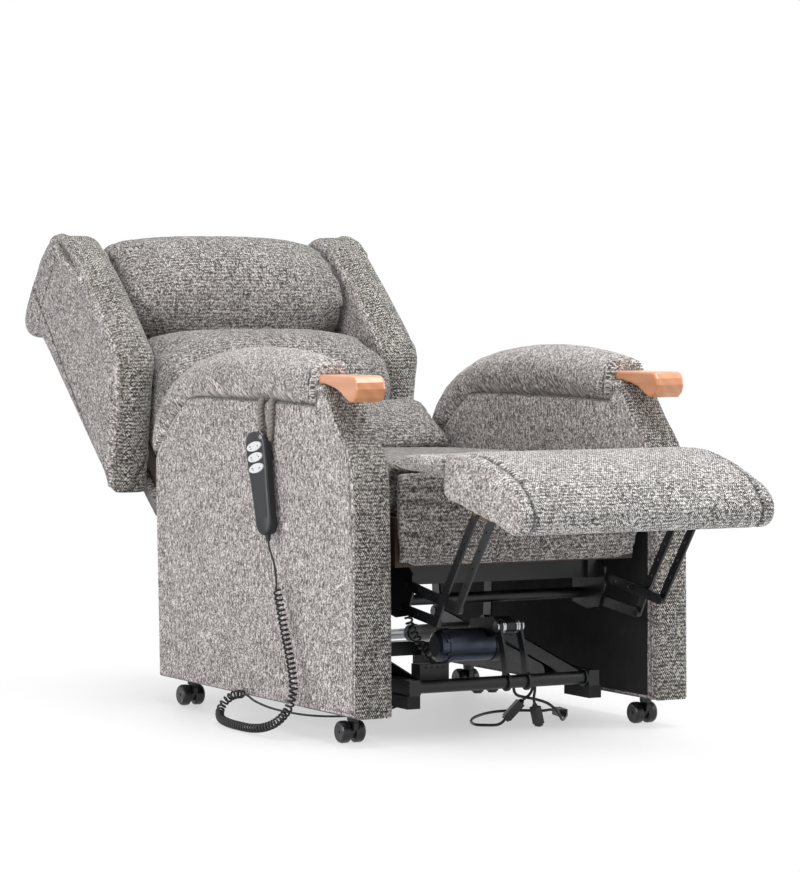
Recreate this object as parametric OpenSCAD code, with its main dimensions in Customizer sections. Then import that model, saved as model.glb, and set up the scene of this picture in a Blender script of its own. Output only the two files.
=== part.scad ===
// Lift recliner chair on a rising base: reclined back, raised footrest, lift at its lowest.
// Front is -Y, up is +Z and the sitter's left is +X. The floor is z = 0.
// Side shapes are drawn as [y, z] outlines and extruded along X.

/* [Arms] */
// Distance between the outer faces of the two arms
chair_w = 690; // [660:5:740]
// Thickness of one arm
arm_t = 75; // [65:1:80]
// Height of the underside of the arms above the floor
arm_bottom = 52; // [50:1:58]
// How far the padded arm top stands out past each face of the arm
pad_bulge = 6; // [3:1:9]
// Width of the wooden hand rest
knuckle_w = 60; // [50:1:70]

/* [Seat] */
// Depth of the wooden seat box
seat_box_d = 760; // [740:5:765]
// Width of the wooden seat box
seat_box_w = 492; // [460:2:510]
// Height of the seat box rails
seat_box_h = 88; // [70:1:95]
// Thickness of the seat box timber
seat_box_t = 20; // [16:1:26]
// Width of the seat cushion
seat_w = 524; // [490:2:530]
// Thickness of the seat cushion at its front edge
seat_edge_h = 96; // [80:1:100]
// Extra height of the seat cushion at its crown
seat_crown = 16; // [6:1:24]

/* [Back] */
// Thickness of one upholstered wing
wing_t = 90; // [75:1:92]
// Width of the cushions between the wings
back_w = 504; // [470:2:508]
// Depth of the back's timber rails
back_rail_d = 48; // [40:1:56]

/* [Footrest] */
// Width of the footrest pad
footrest_w = 510; // [480:2:530]
// Width of the footrest's steel bars
bar_w = 18; // [14:1:19]
// Thickness of the footrest's steel bars
bar_t = 4; // [3:0.5:4.5]
// Thickness of the padded flap between the seat and the footrest
flap_t = 28; // [20:1:29]
// Depth of the padded flap
flap_d = 150; // [130:1:152]

/* [Lift base] */
// Width of a base side rail
rail_w = 22; // [18:1:26]
// Height of a base side rail
rail_h = 28; // [24:1:32]
// Outer radius of the round front tube
tube_r = 12; // [10:0.5:14]
// Length of the front lift links between their pins
lift_link_l = 360; // [340:1:365]
// Width of the lift links
lift_link_w = 24; // [20:1:24]
// Thickness of the lift links
lift_link_t = 6; // [4:0.5:7]
// Radius of the lift link pins
pin_r = 8; // [6:0.5:9]

/* [Drives] */
// Radius of the drive motors
motor_r = 31; // [26:1:32]
// Length of the drive motors
motor_l = 114; // [100:1:120]
// Radius of the drives' outer tubes
drive_tube_r = 15; // [12:0.5:16]
// Radius of the drives' push rods
drive_rod_r = 10; // [8:0.5:11]
// Radius of the pins at the ends of the drives
drive_pin_r = 6; // [5:0.5:7]

/* [Casters] */
// Radius of the caster wheels
wheel_r = 20; // [18:0.5:22]
// Width of one of the two wheels of a caster
wheel_w = 19; // [15:0.5:20]
// Distance from the swivel axis back to the wheel axle
caster_trail = 12; // [8:0.5:15]
// Radius of the swivel stem
stem_r = 5.5; // [4:0.25:6.5]

/* [Handset] */
// Length of the handset
handset_l = 190; // [170:1:200]
// Width of the handset
handset_w = 48; // [42:1:54]
// Thickness of the handset
handset_t = 22; // [18:0.5:26]
// Travel of a rocker button above the handset's face
button_h = 3; // [2:0.25:4]

/* [Cords] */
// Radius of the handset's cord
cord_r = 2; // [1.5:0.1:2.2]
// Outer radius of the curly part of the handset's cord
curl_r = 8.5; // [7:0.25:9]
// Number of curls in the handset's cord
curls = 66; // [40:1:70]
// Number of curls in the short lead to the control box
inner_curls = 12; // [8:1:14]
// Radius of the loose leads
lead_r = 2.7; // [2:0.1:3]

/* [Hidden] */
$fn = 48;
fit = 0.05;             // radial clearance of a pin that turns in a bore
gap = 0.4;              // clearance between moving plates
seat = 0.2;             // clearance between pieces that rest on each other
origin_shift = [12, -123, 0];   // puts the origin under the middle of the whole outline

// ---- pivot points, as [y, z], with the lift down, the back reclined and the footrest up
lift_front = [-328, 92];        // axis of the round front tube
lift_rear = [-196, 92];         // base pivot of the rear lift links
lift_link_a = 12;               // angle of the front lift links above the floor
lift_top = lift_front + lift_link_l * [cos(lift_link_a), sin(lift_link_a)];
rear_top = [220, 170];          // frame pin of the rear lift links
rear_eye = rear_top + [-0.4, 0.8];      // open pivot: where the links' own eyes sit at rest
rear_eye_play = 1.6;            // its radial clearance
lever_top = [-300, 190];        // pin between the front tube's levers and the lift drive
lift_drive_a = -6.7;            // slope of the lift drive
lift_drive_l = 589.5;           // its length between pins, drawn in
lift_anchor = [285.5, 126];       // slotted bracket behind, on the base
back_pivot = [440, 290];        // hinge of the back
back_a = 40;                    // slope of the reclined back above the floor
back_corner = [630, 389];       // lower rear corner of the wings
back_clevis = [-10, 240];       // fixed end of the back drive
back_drive_a = -2.5;
back_drive_l = 427.5;
back_eye = [417.2, 223.8];      // eye of the back's lever
back_eye_play = 2.9;
fold_pivot = [-345, 279];       // upper footrest link on the frame
fold_cross = [-484, 258];       // upper link to the long bars
fold_front = [-539, 250];       // upper link to the front bars
low_pivot = [-323.8, 235.8];    // lower footrest link on the frame
low_eye = [-461, 221];          // foot of the long bars
low_link_eye = low_eye + [0.4, -0.6];   // open pivot: the lower link's own eye at rest
low_eye_play = 1.2;
board_rear = [-603.7, 421];     // long bars to the footrest
board_front = board_rear + fold_front - fold_cross;
flap_hinge = [-404, 484];
fold_pin_r = 4;

// ---- places across the chair, measured from the middle
half_w = chair_w / 2;
arm_in = half_w - arm_t;
rail_out = 198;                         // outer face of the base and frame rails
rail_in = rail_out - rail_w;
bearing_t = 4;                          // bearing rings and pivot plates inside the rails
link_x = rail_in - bearing_t - gap - lift_link_t;   // inner face of the lift links
base_z = lift_front[1] - rail_h / 2;
foot_h = 23;
frame_z = 276;                          // lift frame rails
frame_h = 36;
seat_z = frame_z + frame_h;             // underside of the seat box
plate_t = 4;                            // outer plates that carry the footrest links
fold_in = rail_out + plate_t + gap;     // inner layer of footrest links
fold_out = fold_in + bar_t + gap;       // outer layer
base_front_y = -345;
base_rear_y = 330;
cross_z = 78;                           // flat cross plate behind the front tube
cross_y = [-300, -262];
drive_x = 32;                           // lift drive's axis; the back drive runs at -drive_x
fork_w = 20;                            // width of a drive's eye
anchor_play = 1.4;                      // radial clearance of the drive's rear pin in its slot
anchor_slot = 5;                        // half the slot's travel
lever_gap = 37;                         // space between the front tube's two levers
lever_t = 5;
seat_rear_y = seat_box_d - 380;
deck_z = seat_z + seat_box_h;

function rot2(p, a) = [p[0]*cos(a) - p[1]*sin(a), p[0]*sin(a) + p[1]*cos(a)];
function back_at(u, n) = back_corner + rot2([u, n], back_a);    // u up the back, n out of its front

// ================= helpers =================

module in_place() translate(origin_shift) children();

// Extrudes a [y, z] outline along X from x0 to x1.
module side(x0, x1) translate([x0, 0, 0]) rotate([90, 0, 90]) linear_extrude(x1 - x0) children();

// The same part on the right and on the left.
module both() {
    children();
    mirror([1, 0, 0]) children();
}

// A round bar along X through the point at = [y, z].
module round_x(x0, x1, r, at) translate([x0, at[0], at[1]]) rotate([0, 90, 0]) cylinder(h = x1 - x0, r = r);

// A flat link's outline: round ends on every point of a bent line, width w. The straight runs are
// a hair narrower than the round ends, so that their sides cross the circles instead of touching them.
module link_outline(points, w) {
    run_w = w - 0.1;
    for (p = points) translate(p) circle(w / 2);
    for (i = [0 : len(points) - 2]) {
        d = points[i + 1] - points[i];
        translate(points[i]) rotate(atan2(d[1], d[0])) translate([0, -run_w / 2]) square([norm(d), run_w]);
    }
}

// A flat link from x0, thickness t, with holes = [[point, radius], ...].
module flat_link(x0, t, points, w, holes = []) side(x0, x0 + t) difference() {
    link_outline(points, w);
    for (h = holes) translate(h[0]) circle(h[1]);
}

// A headed stud along +X: shank from x0 to x1, a collar at its foot and a head at its end.
module stud(x0, x1, at, r, head = 2) {
    round_x(x0, x1, r, at);
    round_x(x1, x1 + head, r * 1.5, at);
}

// Inward corner of a closed outline when every side moves in by d.
function unit(v) = v / norm(v);
function inset_point(o, i, d) = let(n = len(o), a = unit(o[i] - o[(i + n - 1) % n]),
    b = unit(o[(i + 1) % n] - o[i]), na = [-a[1], a[0]], nb = [-b[1], b[0]])
    o[i] + (na + nb) * d / max(0.35, 1 + na * nb);
function inset(o, d, keep = []) = [for (i = [0 : len(o) - 1]) i >= keep[0] && i <= keep[1] ? o[i] : inset_point(o, i, d)];

// A closed form from stacked rings of points, every ring with the same count. Its two ends fan out
// from each ring's first point, which has to see the whole ring.
module loft(rings) {
    n = len(rings[0]);
    m = len(rings);
    polyhedron(points = [for (r = rings) each r], faces = concat(
        [for (i = [1 : n - 2]) [0, i, i + 1]],
        [for (k = [0 : m - 2], i = [0 : n - 1]) each let(a = k*n + i, b = k*n + (i + 1) % n)
            [[a, a + n, b], [b, a + n, b + n]]],
        [for (i = [1 : n - 2]) [(m - 1)*n, (m - 1)*n + i + 1, (m - 1)*n + i]]));
}

// An upholstered slab: a counter-clockwise [y, z] outline between x0 and x1 with rounded rims of radius r.
// The points from number keep[0] to keep[1] of the outline stay where they are, as at a seam.
module padded_slab(o, x0, x1, r, steps = 3, keep = [1, 0]) loft([
    for (k = [0 : steps]) let(a = 90 * k / steps, d = inset(o, r * (1 - sin(a)), keep))
        [for (p = d) [x0 + r * (1 - cos(a)), p[0], p[1]]],
    for (k = [steps : -1 : 0]) let(a = 90 * k / steps, d = inset(o, r * (1 - sin(a)), keep))
        [for (p = d) [x1 - r * (1 - cos(a)), p[0], p[1]]]]);

// A cushion across the chair: its [y, z] section is lofted from side to side; at each station the
// section shrinks towards the point core by the factor taper(s), which crowns it and draws its ends in.
module cushion(o, w, core, end = 0.8, rim = 0.55, n = 12) loft([
    for (k = [0 : n]) let(s = cos(180 * k / n), f = rim + (1 - rim) * pow(1 - pow(abs(s), 3), end))
        [for (p = o) [-s * w / 2, core[0] + (p[0] - core[0]) * f, core[1] + (p[1] - core[1]) * f]]]);

// ---- cords: a tube of radius r swept along points, with sides around it
function dir_at(p, i) = unit(p[min(i + 1, len(p) - 1)] - p[max(i - 1, 0)]);
function any_normal(d) = unit(cross(d, abs(d[2]) < 0.9 ? [0, 0, 1] : [1, 0, 0]));
function carry(n, d) = unit(n - d * (n * d));
function frames(p, i = 0, n = undef) = i >= len(p) ? [] : let(d = dir_at(p, i),
    m = n == undef ? any_normal(d) : carry(n, d)) concat([[d, m, cross(d, m)]], frames(p, i + 1, m));
module tube(p, r, sides = 8) {
    f = frames(p);
    loft([for (i = [0 : len(p) - 1]) [for (k = [0 : sides - 1]) let(a = 360 * k / sides)
        p[i] + r * (cos(a) * f[i][1] + sin(a) * f[i][2])]]);
}
// Catmull-Rom curve through hand-chosen points, steps pieces between two points.
function spline_point(a, b, c, d, t) = 0.5 * ((2*b) + (c - a)*t + (2*a - 5*b + 4*c - d)*t*t + (3*b - a - 3*c + d)*t*t*t);
function curve(p, steps) = [for (i = [0 : len(p) - 2], k = [0 : steps - 1])
    spline_point(p[max(i - 1, 0)], p[i], p[i + 1], p[min(i + 2, len(p) - 1)], k / steps), p[len(p) - 1]];
// Lengths along a polyline, and the point at a share of its length.
function run_to(p, i = 0, s = 0) = i >= len(p) ? [] : let(t = i == 0 ? 0 : s + norm(p[i] - p[i - 1]))
    concat([t], run_to(p, i + 1, t));
function seek(run, s, i = 0) = i >= len(run) - 2 || run[i + 1] >= s ? i : seek(run, s, i + 1);
function blend_at(v, run, s) = let(i = seek(run, s), t = (s - run[i]) / (run[i + 1] - run[i])) v[i] * (1 - t) + v[i + 1] * t;
// A helix of turns curls round a path, each curl with rings points, eased in from the path at both ends.
function coil(p, turns, radius, rings) = let(run = run_to(p), total = run[len(run) - 1], f = frames(p),
    e1 = [for (g = f) g[1]], e2 = [for (g = f) g[2]])
    [for (k = [0 : turns * rings]) let(s = total * k / (turns * rings), a = 360 * k / rings,
        ease = min(1, k / rings, turns - k / rings), c = blend_at(p, run, s),
        b1 = blend_at(e1, run, s), b2 = blend_at(e2, run, s))
        c + radius * ease * (cos(a) * unit(b1) + sin(a) * unit(b2))];
// Least clear distance between neighbouring curls of a coil.
function coil_gap(p, rings, r) = min([for (i = [rings : len(p) - 1 - 2 * rings])
    min([for (j = [rings - 2 : rings + 2]) norm(p[i + j] - p[i])]) - 2 * r]);

// ================= lift base =================

module foot_block() translate([rail_in + seat, 0, base_z - foot_h]) cube([rail_w + 4, 88, foot_h]);

module base_frame() color("#1c1c1f") {
    both() {
        difference() {
            union() {
                translate([rail_in, base_front_y, base_z]) cube([rail_w, base_rear_y - base_front_y, rail_h]);
                round_x(rail_in - bearing_t, rail_in, tube_r + 5, lift_front);
            }
            round_x(rail_in - bearing_t - 1, rail_in + 14, pin_r + 2 + fit, lift_front);
        }
        // studs of the rear lift links
        round_x(link_x + lift_link_t + gap / 2, rail_in, pin_r * 1.5, lift_rear);
        mirror([1, 0, 0]) stud(-(link_x + lift_link_t + gap), -(link_x - 0.3), lift_rear, pin_r);
    }
    translate([-rail_in, cross_y[0], cross_z]) cube([2 * rail_in, cross_y[1] - cross_y[0], 6]);
    for (x = [-22, 9]) translate([x, -281, cross_z - 9]) {
        cylinder(h = 9.5, r = 8);
        translate([0, 0, 3]) cylinder(h = 6.5, r = 11);
    }
    translate([-rail_in, 290, base_z]) cube([2 * rail_in, 28, rail_h]);
    // slotted ears for the rear end of the lift drive
    for (s = [-1, 1]) side(drive_x + s * 16 - 2, drive_x + s * 16 + 2) difference() {
        union() {
            translate([lift_anchor[0] - 16, base_z + 6]) square([32, lift_anchor[1] + 4 - base_z - 6]);
            translate(lift_anchor + [0, 4]) circle(16);
        }
        for (z = [-1, 1]) translate(lift_anchor + [0, z * anchor_slot]) circle(drive_pin_r + anchor_play);
        translate(lift_anchor - [drive_pin_r + anchor_play, anchor_slot])
            square([2 * (drive_pin_r + anchor_play), 2 * anchor_slot]);
    }
}

module base_feet() color("#101010") both() for (y = [base_front_y, base_rear_y - 92])
    translate([0, y, 0]) foot_block();

module control_box() color("#151517") translate([-150, cross_y[0] + 4, cross_z + 6]) difference() {
    cube([60, 32, 44]);
    for (i = [0 : 3]) translate([8 + i * 12, -1, 36]) cube([6, 3, 4]);
}

// One lever: a wide foot round the tube, a narrow neck and a round head on the drive's pin.
module lever_outline() {
    link_outline([lift_front, lift_front + [9, 50], lever_top], 17);
    translate(lift_front) circle(tube_r + 5);
    translate(lever_top) circle(drive_pin_r + 6);
}

// Round front tube with its journals, two levers for the drive and the two front lift links.
module front_lift_link() color("#202124") {
    round_x(-(rail_in - bearing_t - gap), rail_in - bearing_t - gap, tube_r, lift_front);
    both() {
        round_x(rail_in - bearing_t - 2, rail_in + 12, pin_r + 2, lift_front);
        flat_link(link_x, lift_link_t, [lift_front, lift_top], lift_link_w, [[lift_top, pin_r + fit]]);
    }
    for (s = [-1, 1]) difference() {
        side(drive_x + s * (lever_gap + lever_t) / 2 - lever_t / 2, drive_x + s * (lever_gap + lever_t) / 2 + lever_t / 2)
            lever_outline();
        round_x(drive_x - 40, drive_x + 40, drive_pin_r + fit, lever_top);
    }
}

// Pin of the drive with the two ribbed spacers either side of the drive's eye.
module lift_pin() color("#b9bcc0") {
    w = lever_gap / 2 + lever_t;
    round_x(drive_x - w - 3, drive_x + w + 3, drive_pin_r, lever_top);
    for (s = [-1, 1]) round_x(drive_x + s * (w + 2) - 1.8, drive_x + s * (w + 2) + 1.8, drive_pin_r + 4, lever_top);
    for (s = [-1, 1], i = [0 : 1]) round_x(drive_x + s * (12.4 + 3.8 * i) - 1.5, drive_x + s * (12.4 + 3.8 * i) + 1.5,
        i == 0 ? 12 : 13, lever_top);
}

module rear_lift_links() color("#232427") both()
    flat_link(link_x, lift_link_t, [lift_rear, rear_eye], lift_link_w,
        [[lift_rear, pin_r + fit], [rear_eye, pin_r - 1 + rear_eye_play]]);

// ================= drives =================

// Places a drive's own frame, with +Y along its rod, at its front pin.
module along_drive(pin, a) translate([0, pin[0], pin[1]]) rotate([a, 0, 0]) children();

// Motor across the drive with its banded end cap. It starts at x0, its centre at [y, z] from the front pin.
module motor(x0, at) translate([x0, at[0], at[1]]) rotate([0, -90, 0]) {
    cap = 27;
    cylinder(h = motor_l - cap + 1, r = motor_r - 1);
    translate([0, 0, motor_l - cap]) cylinder(h = 9, r = motor_r + 1);
    translate([0, 0, motor_l - cap + 9]) rotate_extrude() polygon([[0, -1], [motor_r - 1, -1], [motor_r - 1, 8],
        [motor_r - 4, 14], [motor_r - 11, 18], [0, 18]]);
    for (a = [15 : 45 : 330]) rotate(a) translate([motor_r - 6, -2.5, motor_l - cap + 2]) cube([8, 5, 14]);
}

// Gearbox: eye at the front pin, housing on the axis, worm case beside the motor and the outer tube behind.
module gearbox(at, tube_end) {
    w = lever_gap - 2;
    difference() {
        union() {
            side(-fork_w / 2, fork_w / 2) {
                circle(drive_pin_r + 6);
                translate([0, -10]) square([20, 20]);
            }
            side(-w / 2, w / 2) polygon([[15, -12], [22, -17], [104, -17], [112, -10], [112, 12], [104, 19], [24, 19], [15, 12]]);
            side(2, w / 2) {
                translate(at) circle(motor_r + 1);
                translate([at[0] - 26, min(0, at[1])]) square([52, abs(at[1])]);
            }
            rotate([-90, 0, 0]) {
                translate([0, 0, 100]) cylinder(h = tube_end - 100, r = drive_tube_r);
                translate([0, 0, 111]) cylinder(h = 9, r1 = drive_tube_r + 2, r2 = drive_tube_r);
                translate([0, 0, tube_end - 14]) cylinder(h = 14, r = drive_tube_r + 2);
            }
        }
        side(-fork_w, fork_w) circle(drive_pin_r + fit);
        // saddle for the motor, which lies against the housing
        side(-w, 2) translate(at) circle(motor_r - 1 + seat);
        translate([0, 120, 0]) rotate([-90, 0, 0]) cylinder(h = tube_end, r = drive_rod_r + 0.1);
    }
}

// Push rod with its rear eye; pin_w is the length of the pin fixed in the eye.
module push_rod(from, to, pin_w) {
    rotate([-90, 0, 0]) translate([0, 0, from]) cylinder(h = to - from - 16, r = drive_rod_r);
    round_x(-fork_w / 2, fork_w / 2, drive_pin_r + 6, [to, 0]);
    round_x(-pin_w / 2, pin_w / 2, drive_pin_r, [to, 0]);
    translate([-fork_w / 2, to - 26, -9]) cube([fork_w, 26, 18]);
}

lift_motor_at = [80, -29];              // motor centres from the front pins, along and across the drives
back_motor_at = [50, 27];
module lift_motor() color("#2a2c31") translate([drive_x, 0, 0]) along_drive(lever_top, lift_drive_a)
    motor(2 - seat, lift_motor_at);
module lift_gearbox() color("#1b1c1f") translate([drive_x, 0, 0]) along_drive(lever_top, lift_drive_a)
    gearbox(lift_motor_at, 370);
module lift_rod() color("#c5c8cc") translate([drive_x, 0, 0]) along_drive(lever_top, lift_drive_a)
    push_rod(230, lift_drive_l, 44);
module back_motor() color("#2a2c31") translate([-drive_x, 0, 0]) along_drive(back_clevis, back_drive_a) {
    motor(3, back_motor_at);
    gearbox(back_motor_at, 300);
    side(-8, 0) translate(back_motor_at) circle(motor_r - 1);
}
module back_rod() color("#c5c8cc") translate([-drive_x, 0, 0]) along_drive(back_clevis, back_drive_a)
    push_rod(230, back_drive_l, 40);

// ================= lift frame and seat =================

module lift_frame() color("#1d1d20") {
    both() {
        translate([rail_in, -340, frame_z]) cube([rail_w, 770, frame_h]);
        // hangers of the lift links, with their studs
        side(rail_in - bearing_t, rail_in) {
            link_outline([[lift_top[0] - 10, seat_z - 14], lift_top], 28);
            link_outline([[rear_top[0] + 14, seat_z - 14], rear_top], 28);
        }
        for (p = [lift_top, rear_top]) mirror([1, 0, 0])
            stud(-(rail_in - bearing_t + 1), -(link_x - 0.3), p, p == rear_top ? pin_r - 1 : pin_r);
        // outer plate of the footrest links
        side(rail_out, rail_out + plate_t) polygon([[-250, frame_z - 50], [-250, seat_z], [-340, seat_z],
            [-362, 296], [-362, 262], [-340, 222], [-300, 216]]);
        for (p = [fold_pivot, low_pivot]) stud(rail_out + plate_t - 1, fold_in + bar_t + gap / 2, p, fold_pin_r, 2);
        // hinge plate of the back
        side(rail_out, rail_out + plate_t) difference() {
            polygon([[300, frame_z], [430, 268], back_pivot + [12, -18], back_pivot + [20, 0],
                back_pivot + [6, 20], [410, seat_z], [300, seat_z]]);
        }
        stud(rail_out + plate_t - 1, rail_out + plate_t + gap + 5 + gap / 2, back_pivot, pin_r);
        // brackets that carry the arms
        for (y = [-200, 220]) translate([rail_out - 0.5, y, seat_z - 32]) {
            cube([arm_in - rail_out + 0.5, 60, 5]);
            translate([arm_in - rail_out - 4.5, 0, 0]) cube([5, 60, 32]);
        }
    }
    // cross tubes
    round_x(-rail_out - 0.5, rail_out + 0.5, 10, [-270, 243]);
    for (y = [-330, 372]) translate([-rail_in - 0.5, y, frame_z]) cube([2 * rail_in + 1, 30, frame_h]);
    translate([-rail_in - 0.5, back_clevis[0] - 56, seat_z - 22]) cube([2 * rail_in + 1, 26, 22]);
    // clevis of the back drive
    for (s = [-1, 1]) side(-drive_x + s * (fork_w / 2 + 3.4) - 2.4, -drive_x + s * (fork_w / 2 + 3.4) + 2.4)
        link_outline([back_clevis, back_clevis + [-44, 58]], 24);
    round_x(-drive_x - 19, -drive_x + 19, drive_pin_r, back_clevis);
}

module seat_box() color("#9c6a3f") translate([-seat_box_w / 2, seat_rear_y - seat_box_d, seat_z]) difference() {
    cube([seat_box_w, seat_box_d, seat_box_h]);
    translate([seat_box_t, seat_box_t, -1]) cube([seat_box_w - 2 * seat_box_t, seat_box_d - 2 * seat_box_t, seat_box_h - 5]);
}

panel_t = 20;
module seat_front_panel() color("#8b8884") {
    y = seat_rear_y - seat_box_d;
    padded_slab([[y - seat, seat_z], [y - seat, 474], [y - 8, 480], [y - 18, 476], [y - 22, 462], [y - 22, 400],
        [y - 20, 350], [y - 14, 322], [y - 6, seat_z]], -seat_box_w / 2, seat_box_w / 2, 8);
}

module seat_cushion() color("#918e89") difference() {
    zf = deck_z + seat;
    ze = zf + seat_edge_h;
    zc = ze + seat_crown;
    y = seat_rear_y - seat_box_d;
    cushion([[322, zf], [338, zf + 30], [336, ze - 46], [326, ze - 14], [300, ze - 2], [240, (ze + zc) / 2],
        [120, zc - 2], [0, zc], [-120, zc - 2], [-250, (ze + zc) / 2 + 2], [-340, ze + 4], [-394, ze - 6], [-403.6, ze - 12],
        [-403.6, ze - 32], [-398, zf + 60], [-378, zf + 20], [-360, zf]], seat_w, [-20, zf], 0.5, 0.8);
    translate([-seat_w, y - 60, zf - 1]) cube([2 * seat_w, 60 + seat, 481 + seat - zf]);
}

// ================= arms =================

// Side profile of an arm below its padded top, and the top, which meets it along the seam.
arm_seam = [[410, 487], [392, 508], [345, 548], [300, 578], [262, 597], [124, 600], [-45, 600], [-206, 598], [-258, 597]];
arm_outline = concat([[-418, arm_bottom], [402, arm_bottom], [412, 300], [418, 470]], arm_seam,
    [[-262, 634], [-290, 634], [-341, 572], [-400, 503], [-412, 400]]);
arm_pad_top = [[354, 622], [255, 665], [145, 687], [-4, 696], [-150, 692], [-262, 676], [-266, 655]];
arm_pad_seam = concat([[-261.6, 634.4], [-257.9, 600]], [for (i = [len(arm_seam) - 2 : -1 : 0]) arm_seam[i] + [0.2, seat + 0.1]],
    [[414, 487]]);
arm_pad_outline = concat(arm_pad_top, arm_pad_seam, [[428, 489], [431, 520], [420, 556], [400, 583]]);
module arm() difference() {
    padded_slab(arm_outline, arm_in, half_w, 9);
    for (y = caster_y) translate([caster_x, y, arm_bottom - 1]) cylinder(h = 31, r = stem_r + fit);
}
module arm_right() color("#96928c") mirror([1, 0, 0]) arm();
module arm_left() color("#96928c") arm();
module arm_pad() padded_slab(arm_pad_outline, arm_in - pad_bulge, half_w + pad_bulge, 16,
    keep = [len(arm_pad_top), len(arm_pad_top) + len(arm_pad_seam) - 1]);
module arm_pad_right() color("#8f8c87") mirror([1, 0, 0]) arm_pad();
module arm_pad_left() color("#8f8c87") arm_pad();

// Turned-down wooden hand rest: thin at the back, round nose in front.
knuckle_outline = [[-392, 652], [-401, 649], [-408, 640], [-410, 628], [-405, 613], [-394, 605],
    [-380, 605], [-364, 612], [-346, 622], [-322, 629], [-290, 634 + seat], [-268, 634 + seat], [-268, 652]];
module knuckle() {
    x = arm_in + arm_t / 2 - knuckle_w / 2 + 2;
    padded_slab(knuckle_outline, x, x + knuckle_w, 5);
}
module knuckle_right() color("#b9713f") mirror([1, 0, 0]) knuckle();
module knuckle_left() color("#b9713f") knuckle();

// ================= back =================

// Draws in the back's own frame: [u, n] outlines extruded across the chair.
module on_back() translate([0, back_corner[0], back_corner[1]]) rotate([back_a, 0, 0]) children();
pivot_un = rot2(back_pivot - back_corner, -back_a);
lever_un = rot2(back_eye - back_corner, -back_a);
back_plate_t = 5;
back_stay_un = [-118, 44];
wing_in = half_w - wing_t;

module back_frame() color("#a2764a") on_back() {
    x0 = rail_out + plate_t + gap;
    both() {
        // steel hinge plates
        flat_link(x0, back_plate_t, [pivot_un, [-60, 30], [120, 24]], 36, [[pivot_un, pin_r + fit]]);
        // timber side rails
        translate([x0 + back_plate_t, -70, 0]) cube([30, 600, back_rail_d]);
    }
    translate([-x0 - back_plate_t, -60, 4]) cube([2 * (x0 + back_plate_t), 36, 26]);
    // hardboard the cushions are buttoned to, let in between the rails
    translate([-x0 - back_plate_t - 1, -69, back_rail_d - 5]) cube([2 * (x0 + back_plate_t + 1), 598, 5]);
    for (u = [180, 490]) translate([-wing_in + seat, u, 4]) cube([2 * (wing_in - seat), 36, 26]);
    // stay tube and the lever of the back drive
    round_x(-x0 - 1, x0 + 1, 12, back_stay_un);
    for (s = [-1, 1]) flat_link(-drive_x + s * 13.5 - 2, 4, [back_stay_un, lever_un], 30,
        [[lever_un, drive_pin_r + back_eye_play]]);
}

cover_n = back_rail_d + seat;
module back_cover() color("#85827d") on_back() side(-back_w / 2, back_w / 2)
    polygon([[-40, -18], [-34, -23], [122, -28], [309, -30], [530, -34], [548, -33], [560, -24], [567, 0], [566, 40], [560, 78],
        [548, 106], [540, 110], [535, 104], [532, -seat], [-40, -seat]]);

wing_outline = [[0, 0], [122, -10], [309, -24], [500, -38], [557, -39], [580, -20], [592, 40], [594, 120], [585, 175], [560, 215],
    [516, 244], [406, 257], [274, 255], [190, 248], [149, 235], [123, 198], [71, 114], [22, 27]];
module wing() on_back() padded_slab(wing_outline, half_w - wing_t, half_w, 14);
module wing_right() color("#8c8984") mirror([1, 0, 0]) wing();
module wing_left() color("#8c8984") wing();

module head_cushion() color("#8f8c87") on_back()
    cushion([[330, cover_n], [529, cover_n], [532, 113], [570, 122], [578, 160], [566, 205], [535, 243], [490, 264], [430, 276],
        [370, 270], [325, 246], [304, 205], [300, 180], [306, 110]], back_w, [440, 100], 0.55, 0.66);
module middle_cushion() color("#8c8984") on_back()
    cushion([[24, cover_n], [326, cover_n], [302, 108], [297, 176], [270, 214], [215, 250], [150, 276], [100, 284], [62, 274],
        [32, 246], [16, 205], [14, 120]], back_w, [160, 90], 0.5, 0.7);
module lower_cushion() color("#868380") on_back()
    cushion([[12, 120], [12, 196], [6, 232], [-14, 262], [-44, 282], [-86, 294], [-130, 297], [-162, 293], [-176, 284],
        [-166, 262], [-140, 232], [-122, 196], [-106, 150], [-94, 100], [-88, cover_n], [10, cover_n]],
        back_w, [-60, 120], 0.5, 0.8);

// ================= footrest =================

module footrest_upper_links() color("#17181a") both()
    difference() {
        flat_link(fold_in, bar_t, [fold_pivot, fold_cross, fold_front], bar_w,
            [[fold_pivot, fold_pin_r + fit], [fold_cross, fold_pin_r - 0.5], [fold_front, fold_pin_r - 0.5],
             [fold_pivot + 0.35 * (fold_cross - fold_pivot), 2.5], [fold_pivot + 0.65 * (fold_cross - fold_pivot), 2.5]]);
    }
module footrest_lower_links() color("#17181a") both()
    flat_link(fold_in, bar_t, [low_pivot, low_link_eye], bar_w,
        [[low_pivot, fold_pin_r + fit], [low_link_eye, fold_pin_r - 1 + low_eye_play],
         [low_pivot + 0.5 * (low_eye - low_pivot), 2.5]]);

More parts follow.
